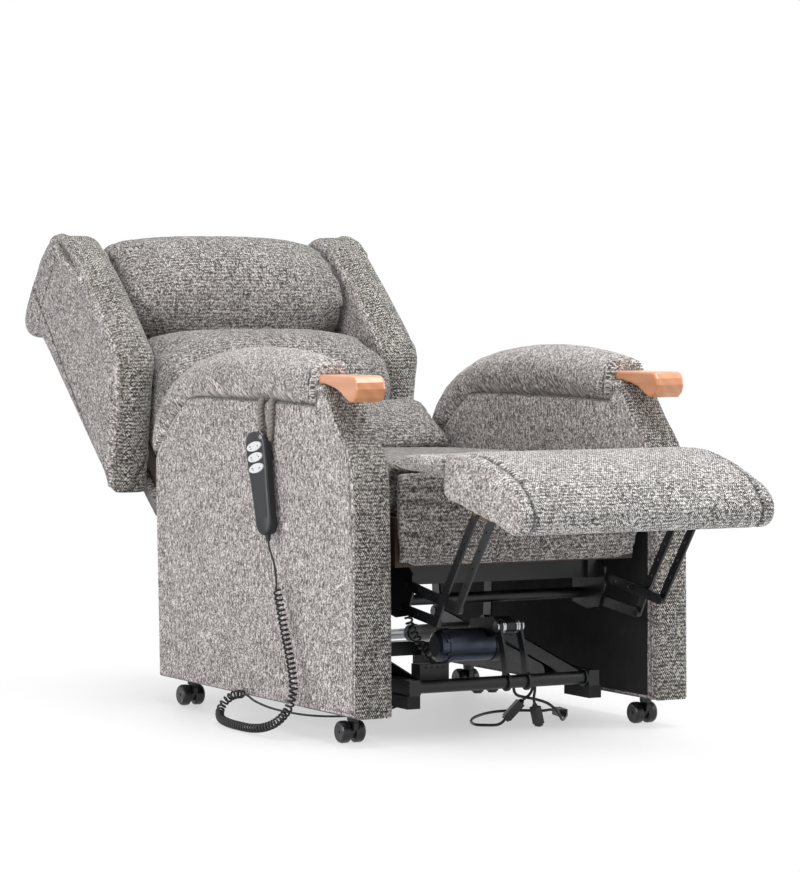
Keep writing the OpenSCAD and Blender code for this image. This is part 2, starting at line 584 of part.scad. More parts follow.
module bar_holes(a, b, shares) for (s = shares) translate(a + s * (b - a)) circle(2.6);
module footrest_long_bars() color("#17181a") both() {
    side(fold_out, fold_out + bar_t) difference() {
        link_outline([low_eye, fold_cross, board_rear], bar_w);
        translate(board_rear) circle(fold_pin_r + fit);
        bar_holes(fold_cross, board_rear, [0.2, 0.38, 0.56, 0.74, 0.88]);
    }
    round_x(fold_in + 0.3, fold_out + 1, fold_pin_r - 1, low_eye);
    round_x(fold_in + 0.3, fold_out + 1, fold_pin_r - 0.5 - fit, fold_cross);
}
module footrest_front_bars() color("#17181a") both() {
    side(fold_out, fold_out + bar_t) difference() {
        link_outline([fold_front, board_front], bar_w);
        translate(board_front) circle(fold_pin_r + fit);
        bar_holes(fold_front, board_front, [0.25, 0.45, 0.65, 0.85]);
    }
    round_x(fold_in + 0.3, fold_out + 1, fold_pin_r - 0.5 - fit, fold_front);
}

board_a = 12.5;                         // slope of the footrest's underside
board_t = 12;
pad_rear = [-562, 446];                 // rear lower edge of the pad
function on_board(d, h) = pad_rear + rot2([-d, h], board_a);
module footrest_board() color("#2b2622") {
    side(-footrest_w / 2 + 22, footrest_w / 2 - 22)
        polygon([on_board(8, 0), on_board(8, board_t), on_board(222, board_t), on_board(222, 0)]);
    both() {
        side(fold_in, fold_in + bar_t) polygon([on_board(20, 0.5), board_rear + [11, -3], board_rear + [2, -11],
            board_front + [-2, -11], board_front + [-11, -3], on_board(118, 0.5)]);
        for (p = [board_rear, board_front]) stud(fold_in + bar_t - 1, fold_out + bar_t + gap / 2, p, fold_pin_r, 2);
        side(fold_in - 18, fold_in + bar_t) polygon([on_board(20, -3), on_board(20, 0.5), on_board(118, 0.5), on_board(118, -3)]);
    }
}
module footrest_pad() color("#8f8c87") difference() {
    cushion([[-565, 448], [-562, 480], [-562, 512], [-566, 521], [-604, 523], [-668, 517], [-725, 503], [-787, 479], [-820, 458],
        [-834, 434], [-830, 408], [-812, 394], [-792, 392], [-747, 406], [-680, 420], [-618, 434]], footrest_w, [-690, 460], 0.16, 0.8, 14);
    side(-footrest_w / 2 + 22 - gap, footrest_w / 2 - 22 + gap)
        polygon([on_board(8 - gap, -60), on_board(8 - gap, board_t + gap), on_board(222 + gap, board_t + gap), on_board(222 + gap, -60)]);
}
module footrest_flap() color("#8f8c87") cushion([[flap_hinge[0], flap_hinge[1]], [flap_hinge[0] + 1, flap_hinge[1] + flap_t - 6],
    [flap_hinge[0] - 6, flap_hinge[1] + flap_t], [flap_hinge[0] - 70, flap_hinge[1] + flap_t + 2],
    [flap_hinge[0] - flap_d + 6, flap_hinge[1] + flap_t], [flap_hinge[0] - flap_d, flap_hinge[1] + flap_t - 8],
    [flap_hinge[0] - flap_d + 4, flap_hinge[1] + 1]], footrest_w, [flap_hinge[0] - 75, flap_hinge[1] + 12], 0.2, 0.8, 8);

// ================= handset =================

handset_top = [-70, 542];
handset_tilt = 13.5;                    // lean of its lower end towards the front
handset_turn = 25;                      // turn of its face towards the front
strap_t = 4;
handset_x = -half_w - strap_t - 2 * seat;       // its back, clear of the arm's side by the straps
// It turns about its front back edge, which rests on the front strap.
turn_at = [handset_x + 2, -handset_w / 2];
module on_handset() translate([0, handset_top[0], handset_top[1]]) rotate([-handset_tilt, 0, 0])
    translate([turn_at[0], turn_at[1], 0]) rotate([0, 0, handset_turn]) translate([-handset_x, -turn_at[1], 0]) children();
// Outline in the handset's own frame, top at 0 and bottom at -handset_l.
hw = handset_w / 2;
handset_outline = [for (p = [[-0.62, -2], [-0.9, -10], [-1, -24], [-0.97, -60], [-0.86, -110], [-0.8, -150], [-0.78, -handset_l + 18],
    [-0.6, -handset_l + 6], [-0.3, -handset_l], [0.3, -handset_l], [0.6, -handset_l + 6], [0.78, -handset_l + 18], [0.8, -150],
    [0.86, -110], [0.97, -60], [1, -24], [0.9, -10], [0.62, -2], [0.3, 0], [-0.3, 0]]) [p[0] * hw, p[1]]];
button_at = [-28, -48, -68];
button_w = 33;
button_l = 16.5;
module button_outline(d = 0) rotate(-6) polygon([for (a = [0 : 15 : 345])
    [(button_w / 2 + d) * cos(a), (button_l / 2 + d) * sin(a)]]);
module handset() color("#26272a") on_handset() difference() {
    union() {
        padded_slab(handset_outline, handset_x - handset_t, handset_x, 6);
        translate([handset_x - handset_t / 2, 0, -handset_l - 12]) cylinder(h = 13, r1 = 3.5, r2 = 6);
    }
    for (z = button_at) side(handset_x - handset_t - 1, handset_x - handset_t + 6) translate([0, z]) button_outline(0.8);
}
module button(z) on_handset() {
    side(handset_x - handset_t - button_h, handset_x - handset_t + 3) translate([0, z]) button_outline();
    translate([handset_x - handset_t + 4.4, 0, z - 6]) cylinder(h = 12, r = 1.6);
}
module button_top() color("#d9d9d6") button(button_at[0]);
module button_middle() color("#d9d9d6") button(button_at[1]);
module button_bottom() color("#d9d9d6") button(button_at[2]);
// Two fabric straps from the pad's seam down to the clip behind the handset's head.
module handset_hanger() color("#8f8c87") difference() {
    union() {
        for (y = [-62, -102]) side(handset_x + seat, handset_x + seat + strap_t)
            link_outline([[y, 592], [y - 0.1 * (y + 82), 540], [-84, 500]], 9);
        side(handset_x - 24, handset_x + seat + strap_t - 0.1) translate([-84, 506]) circle(8);
    }
    on_handset() translate([handset_x - 60, -19, -120]) cube([60 + seat, 80, 160]);
}

// ================= casters =================

caster_x = arm_in + arm_t / 2 - 2;
caster_y = [-334, 328];
axle_r = 3;
fork_t = 9;                             // body between the two wheels
module caster(side_sign, y) translate([side_sign * caster_x, y, 0]) {
    color("#c9ccd0") translate([0, 0, 2 * wheel_r + 1]) cylinder(h = arm_bottom - 2 * wheel_r + 23, r = stem_r);
    color("#17181a") difference() {
        union() {
            side(-fork_t / 2, fork_t / 2) {
                link_outline([[0, wheel_r + 14], [caster_trail, wheel_r]], 24);
                translate([-11, wheel_r + 4]) square([22, wheel_r - 2]);
            }
            translate([0, 0, 2 * wheel_r + 1]) cylinder(h = arm_bottom - 2 * wheel_r - 2, r = 11);
            round_x(-fork_t / 2 - wheel_w - 0.5, fork_t / 2 + wheel_w + 0.5, axle_r, [caster_trail, wheel_r]);
        }
    }
}
module wheels(side_sign, y) color("#1a1b1d") translate([side_sign * caster_x, y + caster_trail, wheel_r]) for (s = [0, 1])
    mirror([s, 0, 0]) translate([fork_t / 2 + gap, 0, 0]) rotate([0, 90, 0]) difference() {
        rotate_extrude() polygon([[axle_r + fit, 0], [wheel_r - 3, 0], [wheel_r - 0.5, 2], [wheel_r, 5], [wheel_r, wheel_w - 6],
            [wheel_r - 1.5, wheel_w - 2.5], [wheel_r - 4, wheel_w - 0.5], [wheel_r - 6, wheel_w - 1], [8, wheel_w - 1], [axle_r + fit, wheel_w - 1]]);
    }
module caster_front_right() caster(-1, caster_y[0]);
module caster_front_left() caster(1, caster_y[0]);
module caster_rear_right() caster(-1, caster_y[1]);
module caster_rear_left() caster(1, caster_y[1]);
module wheels_front_right() wheels(-1, caster_y[0]);
module wheels_front_left() wheels(1, caster_y[0]);
module wheels_rear_right() wheels(-1, caster_y[1]);
module wheels_rear_left() wheels(1, caster_y[1]);

// ================= cords =================

// Routes are lists of [x, y, z] chosen by hand.
handset_foot = handset_l + 12 + 2 * seat;
foot_in = [-handset_t / 2, -turn_at[1]];
foot_xy = turn_at + [foot_in[0] * cos(handset_turn) - foot_in[1] * sin(handset_turn),
    foot_in[0] * sin(handset_turn) + foot_in[1] * cos(handset_turn)];
handset_exit = [foot_xy[0], handset_top[0] + foot_xy[1] * cos(handset_tilt) - sin(handset_tilt) * handset_foot,
    handset_top[1] - foot_xy[1] * sin(handset_tilt) - cos(handset_tilt) * handset_foot];
cord_route = [handset_exit, handset_exit + [0, -3, -12], [-367, -144, 310], [-366, -150, 286], [-366, -153, 269.8]];
curl_route = [[-366, -153, 268], [-366.4, -159, 254], [-368, -184, 200], [-373, -221, 140], [-379, -245, 94], [-387, -242, 58],
    [-394, -214, 32], [-400, -174, 17], [-404, -128, 10.5], [-405, -78, 9.5], [-402, -28, 9.5], [-394, 20, 12], [-382, 50, 21],
    [-370, 58, 36], [-361, 44, 49], [-356, 22, 55], [-354, 4, 56]];
tail_route = [[-353.9, 2.7, 56], [-352, -8, 54], [-345, -26, 45], [-325, -62, 34], [-285, -115, 26], [-235, -160, 26],
    [-190, -200, 34], [-155, -226, 48], [-136, -238, 68], [-131, -240, 90], [-129, -246, 100],
    [-128, cross_y[0] + 36 + seat + 8, 104], [-128, cross_y[0] + 36 + seat, 104]];
inner_route = [[-155, -261, 234], [-153, -256, 222], [-147, -252, 200], [-135, -249, 178], [-122, -252, 158], [-115, -262, 142],
    [-112, -270, 134], [-112, -271.6, cross_z + 50 + 2 * seat]];
lead_a_route = [[101, -268, cross_z - seat], [101, -268, 68], [96, -266, 58], [85, -262, 49]];
lead_b_route = [[52.8, -250.9, 12.8], [46, -249, 6.5], [36, -246, 3.4], [20, -238, 3.2], [8, -222, 3.2], [22, -180, 3.2],
    [58, -128, 3.2], [105, -84, 3.2], [150, -62, 3.2], [195, -70, 3.2], [222, -98, 4], [227.4, -122, 8], [228, -137.5, 9]];
lead_c_route = [[52, -285, cross_z - seat], [53, -285, 68], [62, -283, 60], [82, -279, 55], [108, -274, 49], [134, -269, 40], [154, -263, 27],
    [168, -255, 14], [178, -246, 6], [190, -232, 3.6], [203, -216, 5], [212, -204, 8], [215.8, -192.3, 9]];
lead_d_route = [[94, -290, cross_z - seat], [93.2, -290.2, 66], [91.2, -290.5, 54], [92.9, -290.1, 44.8]];

module handset_cord() color("#141414") tube(curve(cord_route, 3), cord_r);
module handset_curls() color("#141414") {
    c = coil(curve(curl_route, 4), curls, curl_r - cord_r, 8);
    echo(least_gap_of_the_curls = coil_gap(c, 8, cord_r));
    tube(c, cord_r, 6);
}
module handset_tail() color("#141414") tube(curve(tail_route, 3), cord_r);
module inner_curls_lead() color("#141414") {
    c = coil(curve(inner_route, 3), inner_curls, 6, 8);
    echo(least_gap_of_the_inner_curls = coil_gap(c, 8, cord_r));
    tube(c, cord_r, 6);
}
module lead_a() color("#141414") tube(curve(lead_a_route, 3), lead_r);
module lead_b() color("#141414") tube(curve(lead_b_route, 3), lead_r);
module lead_c() color("#141414") tube(curve(lead_c_route, 3), lead_r);
module lead_d() color("#141414") tube(curve(lead_d_route, 3), lead_r);

// A moulded plug lying from point a to point b, w wide and t thick.
module plug(a, b, w, t) {
    d = b - a;
    l = norm(d);
    translate(a) rotate([0, acos(d[2] / l), atan2(d[1], d[0])]) {
        translate([-t / 2, -w / 2, 6]) cube([t, w, l - 10]);
        translate([0, 0, 0]) cylinder(h = 6, r1 = lead_r + 0.8, r2 = t / 2 - 0.6);
        translate([-t / 2 + 2, -w / 2 + 2, l - 4]) cube([t - 4, w - 4, 4]);
    }
}
module plug_a() color("#17181a") plug([84.7, -261.9, 48.6], [53, -251, 13], 22, 15);
module plug_b() color("#17181a") plug([93, -290, 44.3], [104, -288, 2.6], 18, 13);
module coupler_c() color("#17181a") plug([228, -138, 9], [216, -192, 9], 16, 14);

in_place() base_frame();
in_place() base_feet();
in_place() control_box();
in_place() lift_pin();
in_place() front_lift_link();
in_place() rear_lift_links();
in_place() lift_motor();
in_place() lift_gearbox();
in_place() lift_rod();
in_place() lift_frame();
in_place() seat_box();
in_place() seat_front_panel();
in_place() seat_cushion();
in_place() arm_right();
in_place() arm_left();
in_place() arm_pad_right();
in_place() arm_pad_left();
in_place() knuckle_right();
in_place() knuckle_left();
in_place() back_frame();
in_place() back_cover();
in_place() wing_right();
in_place() wing_left();
in_place() head_cushion();
in_place() middle_cushion();
in_place() lower_cushion();
in_place() back_motor();
in_place() back_rod();
in_place() footrest_upper_links();
in_place() footrest_lower_links();
in_place() footrest_long_bars();
in_place() footrest_front_bars();
in_place() footrest_board();
in_place() footrest_pad();
in_place() footrest_flap();
in_place() handset();
in_place() handset_hanger();
in_place() button_top();
in_place() button_middle();
in_place() button_bottom();
in_place() caster_front_right();
in_place() caster_front_left();
in_place() caster_rear_right();
in_place() caster_rear_left();
in_place() wheels_front_right();
in_place() wheels_front_left();
in_place() wheels_rear_right();
in_place() wheels_rear_left();
in_place() handset_cord();
in_place() handset_curls();
in_place() handset_tail();
in_place() inner_curls_lead();
in_place() lead_a();
in_place() lead_b();
in_place() lead_c();
in_place() lead_d();
in_place() plug_a();
in_place() plug_b();
in_place() coupler_c();
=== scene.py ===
import math

import bmesh
import bpy
import numpy as np
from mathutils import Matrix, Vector


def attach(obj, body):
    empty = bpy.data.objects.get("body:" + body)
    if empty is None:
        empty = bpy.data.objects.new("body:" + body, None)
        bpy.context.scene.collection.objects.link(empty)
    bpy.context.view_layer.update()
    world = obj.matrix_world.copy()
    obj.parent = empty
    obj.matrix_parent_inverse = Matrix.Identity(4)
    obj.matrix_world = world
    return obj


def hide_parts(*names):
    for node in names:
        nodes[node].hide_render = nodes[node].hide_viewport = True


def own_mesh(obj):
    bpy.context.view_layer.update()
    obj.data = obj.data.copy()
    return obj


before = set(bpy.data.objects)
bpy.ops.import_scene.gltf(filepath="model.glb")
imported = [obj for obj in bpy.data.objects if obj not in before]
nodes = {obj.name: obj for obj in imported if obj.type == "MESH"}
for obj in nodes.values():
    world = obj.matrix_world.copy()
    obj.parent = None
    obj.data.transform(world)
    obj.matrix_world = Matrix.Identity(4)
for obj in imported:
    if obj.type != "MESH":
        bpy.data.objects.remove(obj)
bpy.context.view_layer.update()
scene = bpy.context.scene

# ---------------------------------------------------------------- places

# where the chair's own zero lies in the frame, in millimetres
ZERO_X, ZERO_Y = 12, -123
# the foot of the reclined back, as y and z, and its slope
BACK_CORNER = (630, 389)
BACK_SLOPE = math.radians(40)


def mm(x, y, z):
    """A point of the chair in millimetres, as metres in the frame."""
    return Vector((x + ZERO_X, y + ZERO_Y, z)) / 1000


def across(x):
    """A distance across the chair from its middle, in millimetres, as the frame's x."""
    return mm(x, 0, 0).x


def route(*points):
    return [mm(*p) for p in points]


def on_back(x, u, n):
    """A point u up the reclined back and n out of its front."""
    c, s = math.cos(BACK_SLOPE), math.sin(BACK_SLOPE)
    return mm(x, BACK_CORNER[0] + u * c - n * s, BACK_CORNER[1] + u * s + n * c)


# the hanging handset: y and z of its top, its two angles, and x of its back and of its face
HANDSET_TOP = (-70, 542)
HANDSET_LEAN = math.radians(13.5)
HANDSET_TURN = math.radians(25)
HANDSET_BACK = -349.4
HANDSET_FACE = HANDSET_BACK - 22
HALF_HANDSET = 24


def on_handset(x, y, z):
    """A point of the hanging handset: z is 0 at its top and falls, y runs across it.
    The handset is turned about the front edge of its back."""
    c, s = math.cos(HANDSET_TURN), math.sin(HANDSET_TURN)
    x, y = x - HANDSET_BACK, y + HALF_HANDSET
    x, y = HANDSET_BACK + 2 + x * c - y * s, x * s + y * c - HALF_HANDSET
    c, s = math.cos(HANDSET_LEAN), math.sin(HANDSET_LEAN)
    return mm(x, HANDSET_TOP[0] + y * c + z * s, HANDSET_TOP[1] - y * s + z * c)


# ---------------------------------------------------------------- camera and light

camera = bpy.data.objects.new("camera", bpy.data.cameras.new("camera"))
scene.collection.objects.link(camera)
camera.data.lens = 148.6
camera.data.sensor_width = 36
camera.location = (-3.248, -6.065, 0.803)
camera.rotation_euler = (math.radians(87.66), 0, math.radians(-28.53))
camera.data.clip_end = 60
scene.camera = camera

scene.view_settings.view_transform = "Standard"


def soft_light(name, place, target, size, power, tint=(1, 1, 1)):
    data = bpy.data.lights.new(name, "AREA")
    data.shape = "RECTANGLE"
    data.size, data.size_y = size
    data.energy = power
    data.color = tint
    light = bpy.data.objects.new(name, data)
    light.location = place
    light.rotation_euler = (Vector(target) - Vector(place)).to_track_quat("-Z", "Y").to_euler()
    scene.collection.objects.link(light)


# place, target, size and watts of each lamp
soft_light("overhead softbox", (0.2, -0.9, 3.2), (0, -0.4, 0.4), (2.4, 2.2), 104)
soft_light("left softbox", (-3.9, -1.2, 1.5), (0, 0, 0.4), (1.8, 1.8), 74, (1, 0.975, 0.98))
soft_light("right softbox", (2.6, -1.9, 1.7), (0.2, -0.2, 0.4), (1.2, 1.4), 30)

# ---------------------------------------------------------------- node helpers


def paint(code):
    """A #rrggbb colour as linear RGBA."""
    parts = [int(code[i : i + 2], 16) / 255 for i in (1, 3, 5)]
    return (*[p / 12.92 if p < 0.04045 else ((p + 0.055) / 1.055) ** 2.4 for p in parts], 1)


def add(tree, kind, inputs=None, **settings):
    """One node, with its sockets set or linked by name or index."""
    made = tree.nodes.new(kind)
    for key, value in settings.items():
        setattr(made, key, value)
    for key, value in (inputs or {}).items():
        socket = made.inputs[key]
        if isinstance(value, bpy.types.NodeSocket):
            tree.links.new(value, socket)
        else:
            socket.default_value = value
    return made


def calc(tree, operation, a, b=0.0, c=0.0, clamp=False):
    """One Math node's result."""
    made = add(tree, "ShaderNodeMath", {0: a, 1: b, 2: c}, operation=operation, use_clamp=clamp)
    return made.outputs[0]


def blend_colour(tree, share, a, b):
    made = add(tree, "ShaderNodeMix", {0: share, 6: a, 7: b}, data_type="RGBA")
    return made.outputs[2]


def ramp(tree, value, low, high):
    """value mapped from low..high to a smooth 0..1."""
    made = add(tree, "ShaderNodeMapRange", {0: value, 1: low, 2: high}, interpolation_type="SMOOTHSTEP")
    return made.outputs[0]


def stretch(tree, vector, scale):
    return add(tree, "ShaderNodeVectorMath", {0: vector, 1: scale}, operation="MULTIPLY").outputs[0]


def noise(tree, vector, scale, detail, rough=0.5):
    made = add(tree, "ShaderNodeTexNoise", {"Vector": vector, "Scale": scale, "Detail": detail, "Roughness": rough})
    return made.outputs[0]


def centred(tree, value):
    return calc(tree, "SUBTRACT", value, 0.5)


def new_group(name, inputs, outputs):
    """An empty shader group. Each input has its usual value: None for a vector, a tuple for a colour."""
    tree = bpy.data.node_groups.new(name, "ShaderNodeTree")
    for label, value in inputs.items():
        kind = "Vector" if value is None else "Color" if isinstance(value, tuple) else "Float"
        socket = tree.interface.new_socket(label, in_out="INPUT", socket_type="NodeSocket" + kind)
        if value is not None:
            socket.default_value = value
    for label in outputs:
        kind = "Color" if label == "Color" else "Float"
        tree.interface.new_socket(label, in_out="OUTPUT", socket_type="NodeSocket" + kind)
    return tree, tree.nodes.new("NodeGroupInput").outputs, tree.nodes.new("NodeGroupOutput").inputs


def use(tree, group, inputs):
    return add(tree, "ShaderNodeGroup", inputs, node_tree=group).outputs


# ---------------------------------------------------------------- shared surface effects

# distance from yarn to yarn, in metres
BROAD_YARN, FINE_YARN = 0.0036, 0.0032
YARN_RELIEF = 0.0011


def woven_yarns():
    """Chenille: short yarns, light and dark at random, in rows, with longer slubs running through them."""
    tree, given, out = new_group(
        "woven yarns",
        {
            "Place": None,
            "Dark": paint("#4a4744"),
            "Middle": paint("#8e8a86"),
            "Light": paint("#c9c6c1"),
            "Streaks": 0.5,
            "Rows": 0.3,
            "Flecks": 0.6,
            "Pitch": BROAD_YARN,
        },
        ("Color", "Height"),
    )
    pitch = add(tree, "ShaderNodeCombineXYZ", {0: given["Pitch"], 1: given["Pitch"], 2: given["Pitch"]}).outputs[0]
    cell = add(tree, "ShaderNodeVectorMath", {0: given["Place"], 1: pitch}, operation="DIVIDE").outputs[0]
    wander = noise(tree, cell, 0.12, 2)
    broad = noise(tree, cell, 0.035, 2)
    parts = add(tree, "ShaderNodeSeparateXYZ", {0: cell}).outputs
    drift = calc(tree, "MULTIPLY", wander, 6.0)
    rows = calc(tree, "SINE", calc(tree, "MULTIPLY_ADD", parts[0], math.pi, drift))
    columns = calc(tree, "SINE", calc(tree, "MULTIPLY_ADD", parts[1], math.pi * 1.7, drift))
    rows = calc(tree, "MULTIPLY", rows, calc(tree, "MULTIPLY_ADD", columns, 0.75, 0.3))
    slub_place = stretch(tree, cell, (1.35, 1.25, 1))
    slub = add(tree, "ShaderNodeTexVoronoi", {"Vector": slub_place, "Scale": 1.0, "Randomness": 0.9}).outputs
    chance = add(tree, "ShaderNodeSeparateXYZ", {0: slub["Color"]}).outputs
    streak = noise(tree, stretch(tree, cell, (0.9, 0.2, 1)), 1.0, 3, 0.6)
    gaps = ramp(tree, slub["Distance"], 0.35, 0.85)
    strength = calc(tree, "MULTIPLY_ADD", chance[1], 1.5, 0.1)
    streaks = calc(tree, "MULTIPLY", given["Streaks"], 2.6)
    value = calc(tree, "MULTIPLY_ADD", centred(tree, streak), streaks, 0.5)
    value = calc(tree, "MULTIPLY_ADD", calc(tree, "MULTIPLY", rows, strength), given["Rows"], value)
    value = calc(tree, "MULTIPLY_ADD", centred(tree, chance[0]), given["Flecks"], value)
    value = calc(tree, "MULTIPLY_ADD", centred(tree, broad), 0.22, value)
    value = calc(tree, "MULTIPLY_ADD", gaps, -0.25, calc(tree, "ADD", value, 0.07))
    low = blend_colour(tree, ramp(tree, value, 0.04, 0.5), given["Dark"], given["Middle"])
    colour = blend_colour(tree, ramp(tree, value, 0.5, 0.96), low, given["Light"])
    tree.links.new(colour, out["Color"])
    tree.links.new(calc(tree, "MULTIPLY_ADD", rows, 0.3, value), out["Height"])
    return tree


def worn_finish():
    """Faint mottling, fine orange-peel and dust lying on upward faces, for coated metal and plastic."""
    tree, given, out = new_group(
        "worn finish",
        {"Base": paint("#202022"), "Dust": 0.15, "Roughness": 0.4, "Grain": 900.0},
        ("Color", "Roughness", "Height"),
    )
    place = add(tree, "ShaderNodeTexCoord").outputs["Object"]
    mottle = noise(tree, place, 28, 4, 0.6)
    grain = add(tree, "ShaderNodeTexNoise", {"Vector": place, "Scale": given["Grain"], "Detail": 2.0}).outputs[0]
    up = add(tree, "ShaderNodeSeparateXYZ", {0: add(tree, "ShaderNodeNewGeometry").outputs["Normal"]}).outputs[2]
    lying = calc(tree, "MULTIPLY", ramp(tree, up, 0.35, 1.0), ramp(tree, mottle, 0.35, 0.7))
    dust = calc(tree, "MULTIPLY", lying, given["Dust"])
    tree.links.new(blend_colour(tree, dust, given["Base"], paint("#8d8a86")), out["Color"])
    rough = calc(tree, "MULTIPLY_ADD", centred(tree, mottle), 0.3, given["Roughness"])
    tree.links.new(calc(tree, "ADD", rough, calc(tree, "MULTIPLY", dust, 0.4), clamp=True), out["Roughness"])
    tree.links.new(grain, out["Height"])
    return tree


def timber_grain():
    """Long wavering grain with pores, running along the Y direction."""
    tree, given, out = new_group(
        "timber grain", {"Early": paint("#c98a56"), "Late": paint("#8f5328"), "Rings": 60.0}, ("Color", "Height")
    )
    place = add(tree, "ShaderNodeTexCoord").outputs["Object"]
    drawn = stretch(tree, place, (1.0, 0.09, 1.0))
    waver = noise(tree, drawn, 26, 3)
    rings = add(
        tree,
        "ShaderNodeTexWave",
        {"Vector": drawn, "Scale": given["Rings"], "Distortion": 5.0, "Detail": 3.0, "Detail Scale": 1.5},
        bands_direction="DIAGONAL",
    ).outputs["Fac"]
    pores = noise(tree, stretch(tree, place, (900, 50, 900)), 1.0, 2)
    share = calc(tree, "MULTIPLY_ADD", rings, 0.45, calc(tree, "MULTIPLY", waver, 0.45))
    share = calc(tree, "ADD", share, calc(tree, "MULTIPLY", ramp(tree, pores, 0.62, 0.75), 0.35), clamp=True)
    tree.links.new(blend_colour(tree, share, given["Early"], given["Late"]), out["Color"])
    tree.links.new(calc(tree, "SUBTRACT", 1.0, share), out["Height"])
    return tree


YARNS = woven_yarns()
WORN = worn_finish()
TIMBER = timber_grain()


def new_material(name):
    made = bpy.data.materials.new(name)
    made.use_nodes = True
    tree = made.node_tree
    shader = next(n for n in tree.nodes if n.type == "BSDF_PRINCIPLED")
    return made, tree, shader


def bump(tree, height, distance, strength, before=None):
    made = add(tree, "ShaderNodeBump", {"Height": height, "Distance": distance, "Strength": strength})
    if before is not None:
        tree.links.new(before, made.inputs["Normal"])
    return made.outputs[0]


def cloth_material(name, dark, middle, light, streaks, rows, flecks, pitch=BROAD_YARN, turned=False):
    """Chenille laid by a piece's own cloth map, with painted shade along its seams and folds; turned runs its yarns the
    other way.
    """
    made, tree, shader = new_material(name)
    place = add(tree, "ShaderNodeUVMap", uv_map="cloth").outputs[0]
    angle = math.pi / 2 if turned else 0.0
    place = add(tree, "ShaderNodeMapping", {"Vector": place, "Rotation": (0, 0, angle)}).outputs[0]
    yarns = {"Place": place, "Dark": paint(dark), "Middle": paint(middle), "Light": paint(light)}
    yarns = use(tree, YARNS, {**yarns, "Streaks": streaks, "Rows": rows, "Flecks": flecks, "Pitch": pitch})
    # painted shade: the cloth is darkened towards near black along seams and folds, where their shade would fall
    seam = add(tree, "ShaderNodeAttribute", attribute_name="seam").outputs["Fac"]
    line_shaded_colour = blend_colour(tree, calc(tree, "MULTIPLY", seam, 0.8), yarns["Color"], paint("#1c1a19"))
    tree.links.new(line_shaded_colour, shader.inputs["Base Color"])
    rest = add(tree, "ShaderNodeTexCoord").outputs["Object"]
    soft = noise(tree, rest, 14, 2)
    fold = bump(tree, soft, 0.006, 0.35)
    tree.links.new(bump(tree, yarns["Height"], YARN_RELIEF, 0.8, fold), shader.inputs["Normal"])
    shader.inputs["Roughness"].default_value = 0.92
    shader.inputs["Sheen Weight"].default_value = 0.22
    shader.inputs["Sheen Roughness"].default_value = 0.45
    shader.inputs["Specular IOR Level"].default_value = 0.25
    return made


def coated_material(name, colour, rough, metal=0.0, dust=0.12, grain=900.0, relief=0.0001, coat=0.0):
    made, tree, shader = new_material(name)
    worn = use(tree, WORN, {"Base": paint(colour), "Dust": dust, "Roughness": rough, "Grain": grain})
    tree.links.new(worn["Color"], shader.inputs["Base Color"])
    tree.links.new(worn["Roughness"], shader.inputs["Roughness"])
    tree.links.new(bump(tree, worn["Height"], relief, 0.5), shader.inputs["Normal"])
    shader.inputs["Metallic"].default_value = metal
    shader.inputs["Coat Weight"].default_value = coat
    return made


def timber_material(name, early, late, rings, rough, coat=0.0):
    made, tree, shader = new_material(name)
    grain = use(tree, TIMBER, {"Early": paint(early), "Late": paint(late), "Rings": rings})
    tree.links.new(grain["Color"], shader.inputs["Base Color"])
    tree.links.new(bump(tree, grain["Height"], 0.0002, 0.4), shader.inputs["Normal"])
    shader.inputs["Roughness"].default_value = rough
    shader.inputs["Coat Weight"].default_value = coat
    shader.inputs["Coat Roughness"].default_value = 0.25
    return made


# cloths: dark, middle and light yarns, then how strong the slubs, the rows and the flecks are
SIDE_CLOTH = cloth_material("strie side cloth", "#4a4340", "#9d9592", "#e6e2df", 0.78, 0.1, 0.9, FINE_YARN)
PAD_CLOTH = cloth_material("arm pad cloth", "#48423f", "#96908c", "#e2dedb", 0.36, 0.25, 0.95, FINE_YARN, turned=True)
BAND_CLOTH = cloth_material("border cloth", "#191816", "#6a6661", "#cdc9c1", 0.12, 0.75, 0.8, turned=True)
CUSHION_CLOTH = cloth_material("cushion chenille", "#2e2c2a", "#77736f", "#c8c4bf", 0.26, 0.5, 0.85, turned=True)
FOOT_CLOTH = cloth_material("footrest cloth", "#34312f", "#8f8b87", "#e6e3e0", 0.18, 0.62, 0.85, turned=True)
FOOT_END_CLOTH = cloth_material("footrest end cloth", "#4c4542", "#9b9490", "#e2dfdc", 0.5, 0.1, 0.9, FINE_YARN)
WING_CLOTH = cloth_material("wing cloth", "#48423f", "#968f8c", "#dedad7", 0.5, 0.12, 0.95, FINE_YARN)
# timbers: early and late wood, how close the rings are, roughness, lacquer
HAND_REST_WOOD = timber_material("lacquered beech", "#d1926a", "#bd7c51", 22.0, 0.24, 0.6)
FRAME_WOOD = timber_material("frame timber", "#4d392a", "#33241a", 55.0, 0.6)
# metals and plastics: colour and roughness, then how metallic, dusty and grained
BLACK_STEEL = coated_material("black powder coat", "#0e0f11", 0.36, dust=0.07)
LINK_STEEL = coated_material("black link steel", "#121316", 0.3, dust=0.05)
BOARD = coated_material("brown fibreboard", "#6b5137", 0.8, grain=2400.0, relief=0.0004)
ZINC = coated_material("bright zinc", "#c8cbd0", 0.28, 1.0, dust=0.1)
ROD_STEEL = coated_material("rod steel", "#9ea2a8", 0.22, 1.0, dust=0.05)
MOTOR_CASE = coated_material("blue-grey motor case", "#4c5462", 0.36, 0.65, dust=0.12)
DRIVE_CASE = coated_material("black drive housing", "#0c0d10", 0.42, dust=0.1, grain=2600.0, relief=0.0003)
FOOT_RUBBER = coated_material("foot rubber", "#0d0d0e", 0.8, dust=0.2, grain=3000.0, relief=0.0003)
CASTER_PLASTIC = coated_material("black caster plastic", "#111215", 0.34, dust=0.16, grain=2800.0, relief=0.0002)
WHEEL_PLASTIC = coated_material("black wheel plastic", "#16171b", 0.3, dust=0.22, grain=1800.0, relief=0.0002)
